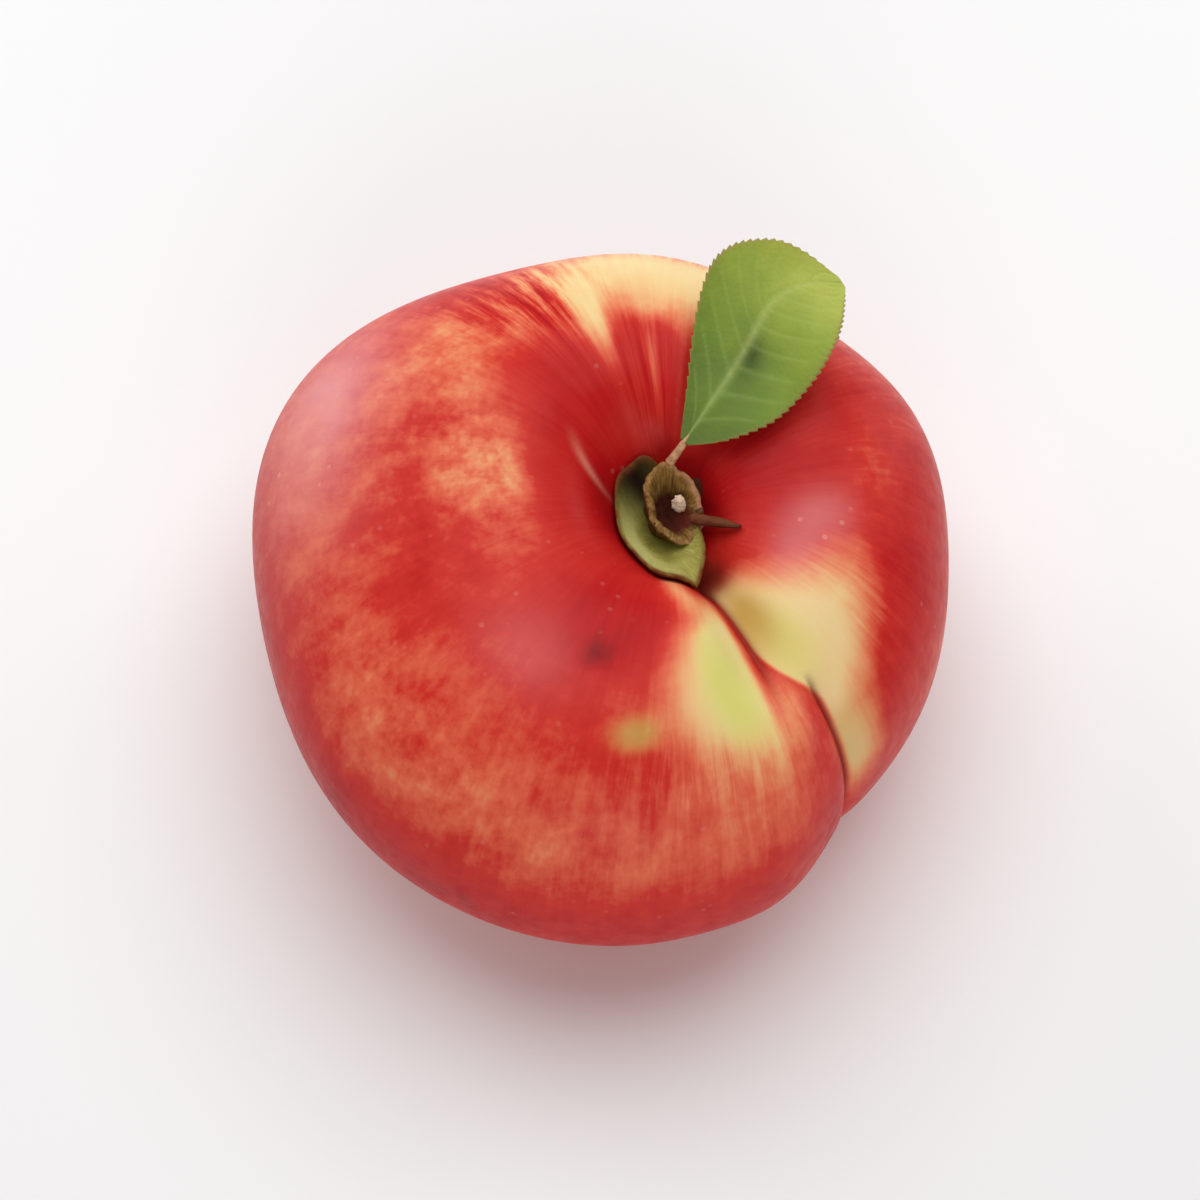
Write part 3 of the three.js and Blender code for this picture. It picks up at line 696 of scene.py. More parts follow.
STREAK = {
    "base": 0.06, "crest_streaks": 0.7, "front_orange": 0.08, "soft_streaks": 0.12,
    "band_streaks": 0.35, "far_wall": 0.15, "low_front": 0.05, "underside": 0.3,
}
GREEN = {"underside": 0.45, "left_patch_green": 1, "right_patch_green": 0.75}
OCHRE = {"front_fleck": 0.8, "right_patch_ochre": 1, "right_patch_tail": 0.4}
CRIMSON = {"outer_right": 0.35, "left_crimson": 0.4, "right_wall": 0.15}
SHEEN = {"left_sheen": 1, "low_sheen": 0.3, "side_sheen": 0.5}


def turn_from(azimuth, line):
    """Degrees that an azimuth lies beyond a line, the short way round."""
    return wrap((azimuth - line) * DEG) / DEG


def oval(azimuth, fall, turn, depth, half_turn, half_depth, firmness=1.0, lean=0.0):
    """Soft oval mark: 1 in its middle, fading out past its half widths."""
    down = fall - depth
    across = turn_from(azimuth, turn + lean * down) / half_turn
    return np.exp(-(((down / half_depth) ** 2 + across**2) ** firmness))


def left_pale_patch(azimuth, fall):
    """Pale wedge on the left lip of the suture, firm at the inner crease and soft on its left."""
    inner = suture_lines(fall * DEG)[0] / DEG
    from_left = turn_from(azimuth, np.interp(fall, LEFT_PATCH_FALLS, LEFT_PATCH_EDGE))
    from_crease = turn_from(inner, azimuth)
    inside = fades_in(LEFT_PATCH_SOFTNESS, from_left) * comes(LEFT_PATCH_FROM_CREASE, from_crease)
    foot = fades_in(LEFT_PATCH_GOES, fall - LEFT_PATCH_SLANT * from_left)
    return inside * fades_in(LEFT_PATCH_COMES, fall) * foot


def right_pale_patch(azimuth, fall):
    """Pale patch on the right wall of the suture, with a tail down beside the outer crease."""
    valley = suture_lines(fall * DEG)[2] / DEG
    from_right = turn_from(np.interp(fall, RIGHT_PATCH_FALLS, RIGHT_PATCH_EDGE), azimuth)
    from_valley = turn_from(azimuth, valley)
    softness = np.interp(fall, RIGHT_SOFT_FALLS, RIGHT_SOFTNESS)
    inside = comes(RIGHT_PATCH_FROM_VALLEY, from_valley) * fades_in((-1, 1), from_right / softness)
    return inside * comes(RIGHT_PATCH_COMES, fall) * goes(RIGHT_PATCH_GOES, fall)


def crease_shade_line(azimuth, fall, crease_azimuth, line):
    shift, half_width, start, end, strength = line
    reach = MEAN_RADIUS * np.sin(fall * DEG) ** (2 / SHOULDER_POWER)
    across = turn_from(azimuth, crease_azimuth / DEG) * DEG * reach
    return strength * bell(across - shift, half_width) * comes(start, fall) * goes(end, fall)


def skin_marks(azimuth, fall):
    """Strength of each named mark at each azimuth and fall."""
    marks = {"base": np.ones_like(azimuth)}
    for name, *shape in OVALS:
        marks[name] = marks.get(name, 0) + oval(azimuth, fall, *shape)
    marks["underside"] = comes(UNDERSIDE_COMES, fall)
    # Painted shade deep in the stem cavity, round the collar and the stub
    marks["pit"] = goes(PIT_SHADE_GOES, fall)
    side_yellow = bell(turn_from(azimuth, SIDE_YELLOW_AZIMUTH), SIDE_YELLOW_SPREAD)
    side_yellow = side_yellow * comes(SIDE_YELLOW_COMES, fall) * goes(SIDE_YELLOW_GOES, fall)
    marks["side_yellow"] = side_yellow

    # Pale line along the suture's left lip: partly pale skin, partly a painted highlight
    pale_and_lit_lip = bell(turn_from(azimuth, PALE_LIP_LEAN * fall + PALE_LIP_AZIMUTH), PALE_LIP_SPREAD)
    marks["pale_and_lit_lip"] = pale_and_lit_lip * comes(PALE_LIP_COMES, fall) * goes(PALE_LIP_GOES, fall)
    # A short pale line in the cavity wall, left of the stem
    pale_line_turn = turn_from(azimuth, PALE_LINE_AZIMUTH) - PALE_LINE_LEAN * (PALE_LINE_FALL - fall)
    marks["pale_line"] = bell(pale_line_turn, PALE_LINE_WIDTH) * bell(fall - PALE_LINE_FALL, PALE_LINE_LENGTH)

    pale_top = marks["top_band"] * fades_in(TOP_BAND_FADES, fall) + 0.85 * marks["top_tongue"]
    marks["pale_top"] = np.clip(pale_top, 0, 1) * (1 - np.clip(marks["far_wall"], 0, 1))

    left_patch = left_pale_patch(azimuth, fall)
    right_patch = right_pale_patch(azimuth, fall)
    marks["left_patch"] = left_patch
    marks["left_patch_green"] = left_patch * marks["left_green"]
    marks["right_patch"] = right_patch
    marks["right_patch_green"] = right_patch * marks["right_green"]
    marks["right_patch_ochre"] = right_patch * marks["valley_ochre"]
    marks["right_patch_tail"] = right_patch * comes(TAIL_COMES, fall)

    inner, outer, _ = suture_lines(fall * DEG)
    inner_shade = crease_shade_line(azimuth, fall, inner, INNER_SHADE_LINE)
    outer_shade = crease_shade_line(azimuth, fall, outer, OUTER_SHADE_LINE)
    marks["creases"] = inner_shade + outer_shade + marks["groove_shade"]
    return marks


def skin_fields(azimuth, fall):
    """How red the skin is, how it is mottled and how it is tinted, at each point."""
    marks = skin_marks(azimuth, fall)

    def total(shares):
        return sum(share * marks[name] for name, share in shares.items())

    blush = total(BLUSH)
    blush = blush * (1 - PALES["pale_top"] * marks["pale_top"]) + total(BLUSH_OVER_BAND)
    for name in ("left_patch", "right_patch", "front_fleck"):
        blush = blush * (1 - PALES[name] * marks[name])
    mottle = total(MOTTLE) * (1 - CALMING * np.clip(total(CALM), 0, 1))
    return {
        "blush": blush,
        "mottle": mottle,
        "streak": total(STREAK),
        "green": np.clip(total(GREEN), 0, 1),
        "ochre": np.clip(total(OCHRE), 0, 1),
        "crimson": np.clip(total(CRIMSON), 0, 1),
        "sheen": np.clip(total(SHEEN), 0, 1),
        "pale_line": marks["pale_line"],
        "crease": np.clip(marks["creases"], 0, 1),
    }


def skin_material():
    shader = Shader("skin", Specular_IOR_Level=0.1, Coat_Weight=0.04, Coat_Roughness=0.25)
    place = shader.place()
    course = shader.scaled(shader.attribute("course", "Vector"), (26, 26, 2.4))
    mottles = shader.noise(place, 290, detail=3, roughness=0.52, distortion=0.15)
    flecks = shader.noise(place, 1100, detail=2, roughness=0.6)
    clouds = shader.noise(place, 85, detail=2)
    streaks = shader.noise(course, 1.0, detail=4, roughness=0.65)

    # Noise about nought, which makes the skin redder or paler
    mottled = shader.minus(shader.span(mottles, 0.16, 0.84), 0.5)
    flecked = shader.minus(shader.span(flecks, 0.25, 0.75), 0.5)
    clouded = shader.minus(clouds, 0.5)
    streaked = shader.minus(shader.span(streaks, 0.3, 0.7), 0.5)
    mottled = shader.plus(mottled, shader.times(flecked, 0.3))
    changes = shader.times(mottled, shader.attribute("mottle"))
    changes = shader.plus(changes, shader.times(clouded, 0.3))
    changes = shader.plus(changes, shader.times(streaked, shader.attribute("streak")))
    blush = shader.attribute("blush")
    open_to_change = shader.span(blush, 0.0, 0.35, 0.15, 0.75)
    redness = shader.plus(blush, shader.times(changes, open_to_change), clamp=True)

    skin = shader.ramp(redness, SKIN_RAMP)
    unblushed = shader.span(redness, 0.1, 0.45, 1.0, 0.0)
    greenish = shader.times(shader.attribute("green"), unblushed)
    skin = shader.tint(skin, shader.times(greenish, 0.8), (212, 208, 100))
    skin = shader.tints(skin, SKIN_TINTS)
    # Painted sheen, partly waxy bloom: a pale pink highlight mixed in where the sheen marks are
    # strong
    sheen = shader.attribute("sheen")
    bloom = shader.span(clouds, 0.3, 0.7, 0.45, 0.75)
    skin = shader.tint(skin, shader.times(sheen, bloom), (240, 166, 168))
    skin = shader.tints(skin, LINE_TINTS)

    # Pale dots
    dots = shader.span(shader.spots(place, 520), 0.08, 0.18, 1.0, 0.0)
    rare = shader.span(shader.noise(place, 260, detail=1), 0.5, 0.62)
    dots = shader.times(dots, rare)
    dusting = shader.span(sheen, 0.0, 0.6, 0.1, 0.4)
    skin = shader.tint(skin, shader.times(dots, dusting), (244, 180, 160))

    roughness = shader.span(shader.noise(place, 700, detail=3), 0.3, 0.7, 0.34, 0.46)
    pores = shader.bump(shader.noise(place, 2600, detail=2), 0.00006, 0.35)
    swells = shader.minus(clouds, shader.times(dots, 0.05))
    normal = shader.bump(swells, 0.0008, 0.35, pores)
    return shader.finish(skin, roughness, normal)


def make_fruit():
    azimuth, fall = skin_grid(SKIN_TURNS, SKIN_ROWS)
    points = skin_points(azimuth, fall)
    points[..., 2] = np.maximum(points[..., 2], lowest)
    piece = make_round_piece("skin_of_fruit", points, skin_material())
    for name, values in skin_fields(azimuth / DEG, fall / DEG).items():
        add_number(piece, name, pole_rows(values))
    course = np.stack([np.cos(azimuth), np.sin(azimuth), fall], axis=-1)
    add_vector(piece, "course", pole_rows(course))
    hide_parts("fruit")


# Bark collar. Its rings have a share of the way out and a share of the thickness.
COLLAR_TURNS = 128
COLLAR_SHARES = (0.0, 0.1, 0.2, 0.3, 0.4, 0.5, 0.6, 0.7, 0.78, 0.85, 0.9, 0.94)
COLLAR_EDGE = ((0.97, 0.92), (0.99, 0.75), (1.0, 0.5), (0.99, 0.25), (0.97, 0.08))
CRINKLES = ((11, 0.05, 2), (19, 0.04, 0))
CRINKLES_COME = (0.7, 1.0)
CRESCENT_COMES = (0.45, 0.62)
CRESCENT_GOES = (0.84, 0.96)
CRESCENT_AZIMUTH, CRESCENT_SPREAD, CRESCENT_STRENGTH = -130 * DEG, 0.85, 0.8
# Olive near the stub: partly the bark's own olive, partly painted shade round the stub
OLIVE_GOES, OLIVE_STRENGTH = (0.25, 0.55), 0.55
# Painted shadow on the collar's upper left, behind the stub
COLLAR_SHADOW_AZIMUTH, COLLAR_SHADOW_SPREAD = 135 * DEG, 0.85
COLLAR_SHADOW_COMES = (0.1, 0.4)
BROWN_RIM_COMES = (0.88, 0.97)
BARK_RAMP = ((0.3, (128, 124, 48)), (0.5, (158, 152, 70)), (0.68, (184, 176, 98)))
BARK_TINTS = (
    ("crescent", 1.0, (208, 204, 130)),
    ("olive_and_shade", 1.0, (100, 84, 32)),
    ("collar_shadow", 1.0, (34, 18, 8)),
)


def collar_plan(share, turn):
    wobble = 1 + ripples(turn, COLLAR_WOBBLE)
    along = COLLAR_LONG * share * wobble * np.cos(turn)
    across = COLLAR_SHORT * share * wobble * np.sin(turn)
    x = COLLAR_CENTRE[0] + along * math.cos(COLLAR_AZIMUTH) - across * math.sin(COLLAR_AZIMUTH)
    y = COLLAR_CENTRE[1] + along * math.sin(COLLAR_AZIMUTH) + across * math.cos(COLLAR_AZIMUTH)
    return x, y


def collar_underside(share, x, y):
    rise = COLLAR_RISE + COLLAR_RISE_WAVE * np.cos(np.arctan2(y, x) - COLLAR_HIGH_AZIMUTH)
    dish = PIT_FLOOR + rise * share**COLLAR_DISH_POWER
    return np.maximum(dish, skin_height(x, y)) + GAP


def bark_material():
    shader = Shader("green_bark", Specular_IOR_Level=0.12)
    grain = shader.scaled(shader.attribute("grain", "Vector"), (22, 22, 3))
    fibres = shader.noise(grain, 1.0, detail=4)
    blotches = shader.noise(shader.place(), 900, detail=3)
    both = shader.plus(shader.times(fibres, 0.5), shader.times(blotches, 0.5))
    bark = shader.tints(shader.ramp(both, BARK_RAMP), BARK_TINTS)
    rim = shader.times(shader.attribute("rim"), shader.span(blotches, 0.35, 0.6, 0.55, 1.0))
    bark = shader.tint(bark, rim, (116, 64, 30))
    return shader.finish(bark, 0.55, shader.bump(fibres, 0.0003, 0.6))


def make_collar():
    turn = full_turn(COLLAR_TURNS)
    upper = [(share, 1.0) for share in COLLAR_SHARES]
    lower = [(share, 0.0) for share in reversed(COLLAR_SHARES)]
    rings = []
    marks = {"crescent": [], "olive_and_shade": [], "collar_shadow": [], "rim": []}
    for share, lift in (*upper, *COLLAR_EDGE, *lower):
        x, y = collar_plan(share, turn)
        height = collar_underside(share, x, y) + COLLAR_THICKNESS * lift
        if lift > 0.5:
            height = height + ripples(turn, CRINKLES) * comes(CRINKLES_COME, share)
        rings.append(np.stack([x, y, height], axis=-1))

        azimuth = np.arctan2(y, x)
        around = bell(wrap(azimuth - CRESCENT_AZIMUTH), CRESCENT_SPREAD)
        across = comes(CRESCENT_COMES, share) * goes(CRESCENT_GOES, share)
        collar_shadow = bell(wrap(azimuth - COLLAR_SHADOW_AZIMUTH), COLLAR_SHADOW_SPREAD) * comes(COLLAR_SHADOW_COMES, share)
        marks["crescent"].append(CRESCENT_STRENGTH * across * around)
        marks["olive_and_shade"].append(np.full(COLLAR_TURNS, OLIVE_STRENGTH * goes(OLIVE_GOES, share)))
        marks["collar_shadow"].append(collar_shadow)
        marks["rim"].append(np.full(COLLAR_TURNS, comes(BROWN_RIM_COMES, share)))
    piece = make_round_piece("bark_collar", np.stack(rings), bark_material())
    for name, values in marks.items():
        add_number(piece, name, pole_rows(np.stack(values)))
    add_grain(piece, turn[None, :], np.linspace(0, 4, len(rings))[:, None])
    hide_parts("stem_collar")


# Woody stub. Its rings have a share of the way up, a share of the flare and, inside, an inset.
STUB_TURNS = 120
STUB_INSIDE = (
    (0.0, 0.2, 3.2),
    (0.0, 0.2, 1.7),
    (0.03, 0.25, 1.2),
    (0.12, 0.35, 0.95),
    (0.3, 0.5, 0.86),
    (0.5, 0.65, 0.8),
    (0.7, 0.78, 0.75),
    (0.85, 0.88, 0.68),
    (0.95, 0.95, 0.58),
    (0.99, 0.99, 0.45),
    (1.0, 1.0, 0.3),
    (0.99, 1.0, 0.12),
)
STUB_OUTSIDE = (
    (0.95, 1.0), (0.85, 0.93), (0.7, 0.8), (0.55, 0.58),
    (0.4, 0.38), (0.25, 0.2), (0.12, 0.08), (0.0, 0.0),
)
RAGGED_RIM = ((5, 0.12, 1), (13, 0.09, 0.4), (29, 0.06, 0))
TAN_RIM_COMES = (0.93, 1.0)
# The stub's tan rim, with a painted highlight: strongest on its right and upper side
TAN_RIM_LIT_TURN, TAN_RIM_LIT_SPREAD = 20 * DEG, 1.2
# Painted shade on the stub's outside, on its front left side
SHADED_SIDE_TURN, SHADED_SIDE_SPREAD, SHADED_SIDE_STRENGTH = -145 * DEG, 1.1, 0.75
# Dark inside the stub: partly dark wood, partly painted shade; it reaches less far up the far
# inner wall
HOLLOW_BOTTOM, HOLLOW_TOP, HOLLOW_TOP_DROP = 0.12, 0.85, 0.4
MAROON_TURN, MAROON_SPREAD, MAROON_STRENGTH = -50 * DEG, 0.8, 0.8
MAROON_LEVEL, MAROON_HEIGHT = 0.35, 0.3
WOOD_RAMP = ((0.3, (92, 60, 24)), (0.48, (138, 102, 46)), (0.66, (176, 144, 80)))
WOOD_TINTS = (
    ("rim", 1.0, (196, 138, 104)),
    ("hollow", 1.0, (74, 28, 14)),
    ("maroon", 1.0, (118, 36, 32)),
)


def on_stub(points):
    """Moves points from the stub's own frame to the stem's."""
    foot = np.array([STUB_CENTRE[0], STUB_CENTRE[1], PIT_FLOOR + GAP + COLLAR_THICKNESS])
    return np.asarray(points) + foot


def wood_material():
    shader = Shader("stem_wood", Specular_IOR_Level=0.15)
    grain = shader.scaled(shader.attribute("grain", "Vector"), (14, 14, 1.5))
    fibres = shader.noise(grain, 1.0, detail=5)
    blotches = shader.noise(shader.place(), 1400, detail=3)
    both = shader.plus(shader.times(fibres, 0.6), shader.times(blotches, 0.4))
    wood = shader.tints(shader.ramp(both, WOOD_RAMP), WOOD_TINTS)
    return shader.finish(wood, 0.62, shader.bump(fibres, 0.0004, 0.8))


def stub_ring(turn, level, flare, inset, is_inside):
    ridge = 1 + 0.03 * np.sin(6 * turn) + 0.018 * np.sin(17 * turn + 3 * level)
    reach_x = np.maximum(lerp(STUB_FOOT[0], STUB_RIM[0], flare) * ridge - inset, 0)
    reach_y = np.maximum(lerp(STUB_FOOT[1], STUB_RIM[1], flare) * ridge - inset, 0)
    rim = STUB_HEIGHT + STUB_SLANT * np.sin(turn) + ripples(turn, RAGGED_RIM)
    z = level * rim
    if is_inside:
        z = lerp(STUB_FLOOR, rim, level)
        lumps = 0.1 * np.sin(9 * turn + 7 * level) * np.sin(8 * level)
        reach_x = reach_x - lumps
        reach_y = reach_y - lumps
    along_x = reach_x * np.cos(turn)
    along_y = reach_y * np.sin(turn)
    x = along_x * math.cos(STUB_TURN) - along_y * math.sin(STUB_TURN)
    y = along_x * math.sin(STUB_TURN) + along_y * math.cos(STUB_TURN)
    x = x + (1 - flare) * STUB_FOOT_SHIFT[0]
    y = y + (1 - flare) * STUB_FOOT_SHIFT[1]
    return np.stack([x, y, z], axis=-1)


def make_stub(material):
    turn = full_turn(STUB_TURNS)
    azimuth = turn + STUB_TURN
    lit_side = 0.15 + 0.85 * bell(wrap(azimuth - TAN_RIM_LIT_TURN), TAN_RIM_LIT_SPREAD)
    shaded_side = SHADED_SIDE_STRENGTH * bell(wrap(azimuth - SHADED_SIDE_TURN), SHADED_SIDE_SPREAD)
    hollow_top = HOLLOW_TOP - HOLLOW_TOP_DROP * np.clip(np.sin(turn), 0, 1)
    maroon_side = MAROON_STRENGTH * bell(wrap(turn - MAROON_TURN), MAROON_SPREAD)
    rings = []
    marks = {"rim": [], "hollow": [], "maroon": []}
    inside = [(*ring, True) for ring in STUB_INSIDE]
    outside = [(*ring, 0.0, False) for ring in STUB_OUTSIDE]
    for level, flare, inset, is_inside in (*inside, *outside):
        rings.append(stub_ring(turn, level, flare, inset, is_inside))
        hollow = goes((HOLLOW_BOTTOM, hollow_top), level) if is_inside else shaded_side
        maroon = maroon_side * bell(level - MAROON_LEVEL, MAROON_HEIGHT)
        marks["rim"].append(0.9 * comes(TAN_RIM_COMES, level) * lit_side)
        marks["hollow"].append(hollow)
        marks["maroon"].append(maroon * is_inside)
    rings[0] = np.broadcast_to(rings[0].mean(axis=0), rings[0].shape)
    rings.append(np.zeros((STUB_TURNS, 3)))
    piece = make_round_piece("torn_stub", on_stub(np.stack(rings)), material)
    for name, values in marks.items():
        values.append(np.zeros(STUB_TURNS))
        add_number(piece, name, pole_rows(np.stack(values)))
    add_grain(piece, turn[None, :], np.linspace(0, 6, len(rings))[:, None])
    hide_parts("stem_stub")


# Bud scales, which hug the stub's outside
SCALE_ROWS, SCALE_TURNS = 24, 28
SCALE_LEAN = 16 * DEG
SCALE_THICKNESS = 0.42


def make_bud_scale(index, scale, material):
    turn, distance, height, half_width, half_length, darkness = scale
    level = np.linspace(-1, 1, SCALE_ROWS)[:, None]
    around = full_turn(SCALE_TURNS)[None, :]
    taper = np.sqrt(np.clip(1 - level**2, 0, 1)) * (1 - 0.28 * level)
    out = SCALE_THICKNESS * taper * np.cos(around) + 0.12 * (1 - level**2)
    out = out * (1 + 0.05 * np.sin(9 * around))
    side = half_width * taper * np.sin(around)
    up = half_length * level
    lean_cos, lean_sin = math.cos(SCALE_LEAN), math.sin(SCALE_LEAN)
    reach = out * lean_cos + up * lean_sin + distance - 0.1 * side**2
    z = up * lean_cos - out * lean_sin + height
    turn_cos, turn_sin = math.cos(turn * DEG), math.sin(turn * DEG)
    x = reach * turn_cos - side * turn_sin
    y = reach * turn_sin + side * turn_cos
    grid = on_stub(np.stack([x, y, z], axis=-1))
    piece = make_round_piece(f"bud_scale_{index}", grid, material)
    tip = 0.5 * comes((0.75, 1.0), level + 0 * around)
    add_number(piece, "rim", pole_rows(tip))
    add_number(piece, "hollow", pole_rows(np.full_like(tip, darkness)))
    add_grain(piece, around, 3 * level + index)


# Withered spur and pale splinter
SPUR_STEPS, SPUR_SIDES = 48, 20
SPLINTER_ROWS, SPLINTER_TURNS = 12, 14
SPLINTER_SEED = 5
SPLINTER_PLACE = (0.55, 0.25, 1.0)
SPLINTER_HALF_WIDTHS = (0.85, 0.45)
SPLINTER_HEIGHT = 1.9
SPLINTER_RAMP = ((0.3, (232, 182, 146)), (0.6, (255, 232, 208)))


def make_spur(material):
    grid = on_stub(tube(SPUR_PATH, SPUR_RADII, SPUR_STEPS, SPUR_SIDES, roughness=0.07))
    piece = make_round_piece("withered_spur", grid, material)
    turn = full_turn(SPUR_SIDES)[None, :]
    along = np.linspace(0, 1, len(grid))[:, None]
    add_grain(piece, turn, 4 * along)
    # Painted highlight: the spur's top is paler and tan, its underside darker maroon
    lit = np.clip(np.sin(turn), 0, 1) + 0 * along
    add_number(piece, "maroon", pole_rows(0.95 - 0.35 * lit))
    add_number(piece, "rim", pole_rows(0.4 * lit))


def splinter_material():
    shader = Shader("torn_wood")
    grain = shader.noise(shader.place(), 2600, detail=4)
    wood = shader.ramp(grain, SPLINTER_RAMP)
    return shader.finish(wood, 0.6, shader.bump(grain, 0.0003, 0.7))


def make_splinter():
    """A splinter of pale torn wood stands inside the stub."""
    rng = np.random.default_rng(SPLINTER_SEED)
    level = np.linspace(0, 1, SPLINTER_ROWS)[:, None]
    around = full_turn(SPLINTER_TURNS)[None, :]
    edge = np.clip(np.sin(level * np.pi), 0, 1) ** 0.35
    jitter = 1 + 0.16 * rng.standard_normal((SPLINTER_ROWS, SPLINTER_TURNS))
    x = (SPLINTER_HALF_WIDTHS[0] - 0.35 * level) * edge * np.cos(around) * jitter
    y = SPLINTER_HALF_WIDTHS[1] * edge * np.sin(around) * jitter
    z = SPLINTER_HEIGHT * level - 0.3 * x * level
    grid = np.stack([x, y + 0.28 * z, z], axis=-1) + np.array(SPLINTER_PLACE)
    make_round_piece("torn_splinter", on_stub(grid), splinter_material())


# Leaf
VEIN_PAIRS = 9
VEIN_START, VEIN_STEP, VEIN_STAGGER = 0.05, 0.1, 0.035
VEIN_SWEEP, VEIN_WIDTH = 0.17, 0.009
SPOT_PLACE = (0.36, 0.12)
SPOT_SIZE = (0.09, 0.2)
TEETH_COME, TEETH_GO = (0.06, 0.16), (0.9, 0.97)
MIDRIB_GROOVE, VEIN_GROOVE, MIDRIB_KEEL = 0.16, 0.05, 0.3
LEAF_RAMP = (
    (0.12, (80, 100, 34)),
    (0.45, (106, 132, 44)),
    (0.75, (142, 160, 56)),
    (1.0, (180, 190, 84)),
)
LEAF_TINTS = (
    ("spot", 0.9, (54, 70, 18)),
    ("side_vein", 0.16, (176, 196, 104)),
    ("midrib", 0.4, (186, 200, 116)),
    ("margin", 1.0, (150, 128, 70)),
)
STALK_RAMP = ((0.3, (168, 112, 78)), (0.65, (212, 168, 124)))


def leaf_height(x, y, t, side):
    plane = LEAF_START_HEIGHT + LEAF_SLOPE * (y - LEAF_MIDRIB[0][1])
    spread = comes((0, 0.25), t) * goes((0.78, 1), t)
    cup = LEAF_CUP * side**2
    wave = np.sin(13 * t + np.where(side > 0, 0.6, 2.4))
    ripple = LEAF_RIPPLE * wave * np.abs(side) ** 1.5
    return plane + (cup + ripple) * spread + LEAF_TIP_LIFT * t**2


def leaf_veins(t, side):
    """Strength of the midrib and of the paired side veins, which curve towards the tip."""
    reach = np.abs(side)
    midrib = bell(reach, 0.035 + 0.05 * (1 - t))
    side_veins = np.zeros_like(reach)
    for k in range(VEIN_PAIRS):
        start = VEIN_START + VEIN_STEP * k + np.where(side > 0, VEIN_STAGGER, 0.0)
        line = start + VEIN_SWEEP * reach**1.25
        side_veins += bell(t - line, VEIN_WIDTH) * goes((0.72, 0.98), reach)
    return midrib, np.clip(side_veins, 0, 1)


def leaf_material():
    shader = Shader("leaf", Specular_IOR_Level=0.2, Subsurface_Weight=0.08, Subsurface_Scale=0.001)
    place = shader.place()
    blotches = shader.noise(place, 260, detail=3)
    cells = shader.spots(place, 2400)
    along = shader.plus(shader.attribute("along"), shader.times(blotches, 0.35))
    blade = shader.tints(shader.ramp(along, LEAF_RAMP), LEAF_TINTS)
    net = shader.bump(cells, 0.00012, 0.3)
    normal = shader.bump(blotches, 0.0005, 0.35, net)
    return shader.finish(blade, shader.span(blotches, 0.3, 0.7, 0.42, 0.55), normal)


def sheet_faces(rows, columns):
    """Faces of a closed sheet: its upper points come first and its lower points after them."""
    size = rows * columns
    faces = []
    for r in range(rows - 1):
        for c in range(columns - 1):
            a = r * columns + c
            b = a + columns
            faces.append((a, a + 1, b + 1, b))
            faces.append((size + a, size + b, size + b + 1, size + a + 1))
    for r in range(rows - 1):
        a = r * columns
        b = a + columns
        c = a + columns - 1
        d = b + columns - 1
        faces.append((a, b, size + b, size + a))
        faces.append((c, size + c, size + d, d))
    for a in range(columns - 1):
        b = (rows - 1) * columns + a
        faces.append((a, size + a, size + a + 1, a + 1))
        faces.append((b, b + 1, size + b + 1, size + b))
    return faces


def make_leaf():
    t = np.linspace(0, 1, LEAF_ROWS + 1)[:, None]
    side = np.linspace(-1, 1, 2 * LEAF_HALF_COLUMNS + 1)[None, :]
    side = np.sign(side) * np.abs(side) ** 0.85
    t, side = np.broadcast_arrays(t, side)
    reach = np.abs(side)
    midrib_line = spline(LEAF_MIDRIB, t)
    edge = np.where(side[..., None] < 0, spline(LEAF_LEFT, t), spline(LEAF_RIGHT, t))
    width = np.linalg.norm(edge - midrib_line, axis=-1)
    saw = (t * LEAF_TEETH) % 1.0
    tooth = LEAF_TOOTH * (saw - 0.5) * comes(TEETH_COME, t) * goes(TEETH_GO, t)
    share = reach * (1 + tooth / np.maximum(width, 1) * comes((0.85, 1.0), reach))
    plan = lerp(midrib_line, edge, share[..., None])
    x, y = plan[..., 0], plan[..., 1]

    midrib, side_veins = leaf_veins(t, side)
    grooves = MIDRIB_GROOVE * midrib + VEIN_GROOVE * side_veins
    upper = PIT_FLOOR + leaf_height(x, y, t, side) - grooves
    upper = upper + 0.03 * np.sin(40 * t + 3 * side) * reach
    thickness = LEAF_THICKNESS * (1 - 0.75 * reach**6)
    lower = upper - thickness - MIDRIB_KEEL * midrib * (1 - t)
    top = np.stack([x, y, upper], axis=-1).reshape(-1, 3)
    bottom = np.stack([x, y, lower], axis=-1).reshape(-1, 3)
    points = np.concatenate([top, bottom])
    piece = make_piece("leaf_blade", points, sheet_faces(*upper.shape), leaf_material())

    fields = {
        "along": t,
        "midrib": midrib,
        "side_vein": side_veins,
        "spot": bell(t - SPOT_PLACE[0], SPOT_SIZE[0]) * bell(side - SPOT_PLACE[1], SPOT_SIZE[1]),
        "margin": 0.7 * comes((0.93, 1.0), reach),
    }
    for name, values in fields.items():
        add_number(piece, name, np.stack([values, values]))
    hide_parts("leaf")


def stalk_material():
    shader = Shader("leaf_stalk")
    fibres = shader.noise(shader.place(), 1500, detail=3)
    stalk = shader.ramp(fibres, STALK_RAMP)
    return shader.finish(stalk, 0.45, shader.bump(fibres, 0.0002, 0.5))


def make_stalk():
    """The stalk leaves the stub's rim and runs on under the blade."""
    path = [(STALK_ROOT[0], STALK_ROOT[1], PIT_FLOOR + STALK_ROOT[2])]
    for t, below in STALK_STATIONS:
        x, y = spline(LEAF_MIDRIB, [t])[0]
        z = PIT_FLOOR + leaf_height(x, y, t, 0.0) - below
        path.append((x, y, z))
    grid = tube(path, STALK_RADII, STALK_STEPS, STALK_SIDES, roughness=0.04)
    make_round_piece("leaf_stalk", grid, stalk_material())


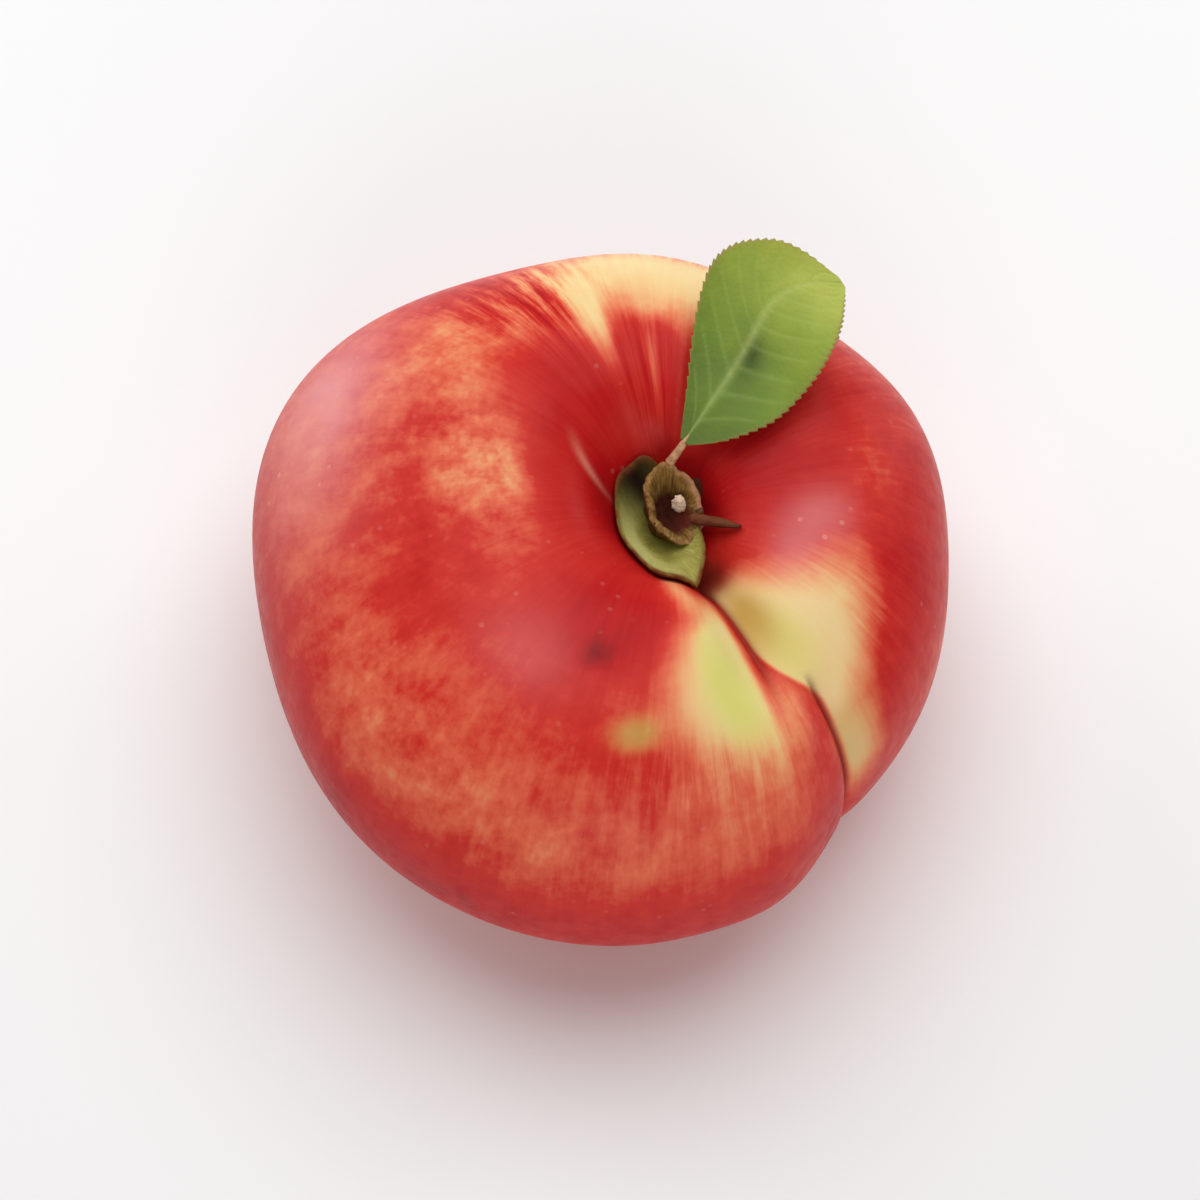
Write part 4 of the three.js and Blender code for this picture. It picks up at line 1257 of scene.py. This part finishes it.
# Stage
FLOOR_HALF_WIDTH = 1.5
LIGHT_TARGET = (0, 0, 0.02)
LIGHTS = (
    ("overhead", (0.05, 0.3, 0.8), 1.1, 6.1),
    ("left_panel", (-0.46, 0.42, 0.22), 0.4, 1.2),
    ("right_panel", (0.5, 0.4, 0.16), 0.3, 0.6),
    ("front_fill", (0.05, -0.7, 0.3), 0.6, 1.8),
)
WORLD_STRENGTH = 0.22
CAMERA_ELEVATION = 62 * DEG
CAMERA_TARGET = Vector((0, -0.0001, 0.0182))
CAMERA_LENS = 150
SENSOR_WIDTH = 36
FRAME_WIDTH = 0.1154


def make_floor():
    half = FLOOR_HALF_WIDTH
    corners = [(-half, -half, 0), (half, -half, 0), (half, half, 0), (-half, half, 0)]
    mesh = bpy.data.meshes.new("floor")
    mesh.from_pydata(corners, [], [(0, 1, 2, 3)])
    shader = Shader("pale_floor")
    mesh.materials.append(shader.finish(colour(246, 246, 246), 0.6))
    floor = bpy.data.objects.new("floor", mesh)
    bpy.context.scene.collection.objects.link(floor)


def aim(thing, place, target):
    thing.location = place
    thing.rotation_mode = "QUATERNION"
    thing.rotation_quaternion = (Vector(target) - Vector(place)).to_track_quat("-Z", "Y")
    bpy.context.scene.collection.objects.link(thing)


def make_light(name, place, size, power):
    data = bpy.data.lights.new(name, "AREA")
    data.shape = "DISK"
    data.size = size
    data.energy = power
    aim(bpy.data.objects.new(name, data), place, LIGHT_TARGET)


def make_lights():
    for light in LIGHTS:
        make_light(*light)
    world = bpy.data.worlds.new("studio")
    world.use_nodes = True
    background = world.node_tree.nodes["Background"]
    background.inputs["Color"].default_value = (1, 1, 1, 1)
    background.inputs["Strength"].default_value = WORLD_STRENGTH
    bpy.context.scene.world = world
    bpy.context.scene.view_settings.view_transform = "Standard"


def make_camera():
    """Looks down on the fruit at the photographed angle."""
    data = bpy.data.cameras.new("camera")
    data.lens = CAMERA_LENS
    data.sensor_width = SENSOR_WIDTH
    distance = FRAME_WIDTH * CAMERA_LENS / SENSOR_WIDTH
    back = Vector((0, -math.cos(CAMERA_ELEVATION), math.sin(CAMERA_ELEVATION)))
    camera = bpy.data.objects.new("camera", data)
    aim(camera, CAMERA_TARGET + back * distance, CAMERA_TARGET)
    bpy.context.scene.camera = camera


make_fruit()
make_collar()
wood = wood_material()
make_stub(wood)
for index, scale in enumerate(BUD_SCALES):
    make_bud_scale(index, scale, wood)
make_spur(wood)
make_splinter()
make_leaf()
make_stalk()
make_floor()
make_lights()
make_camera()
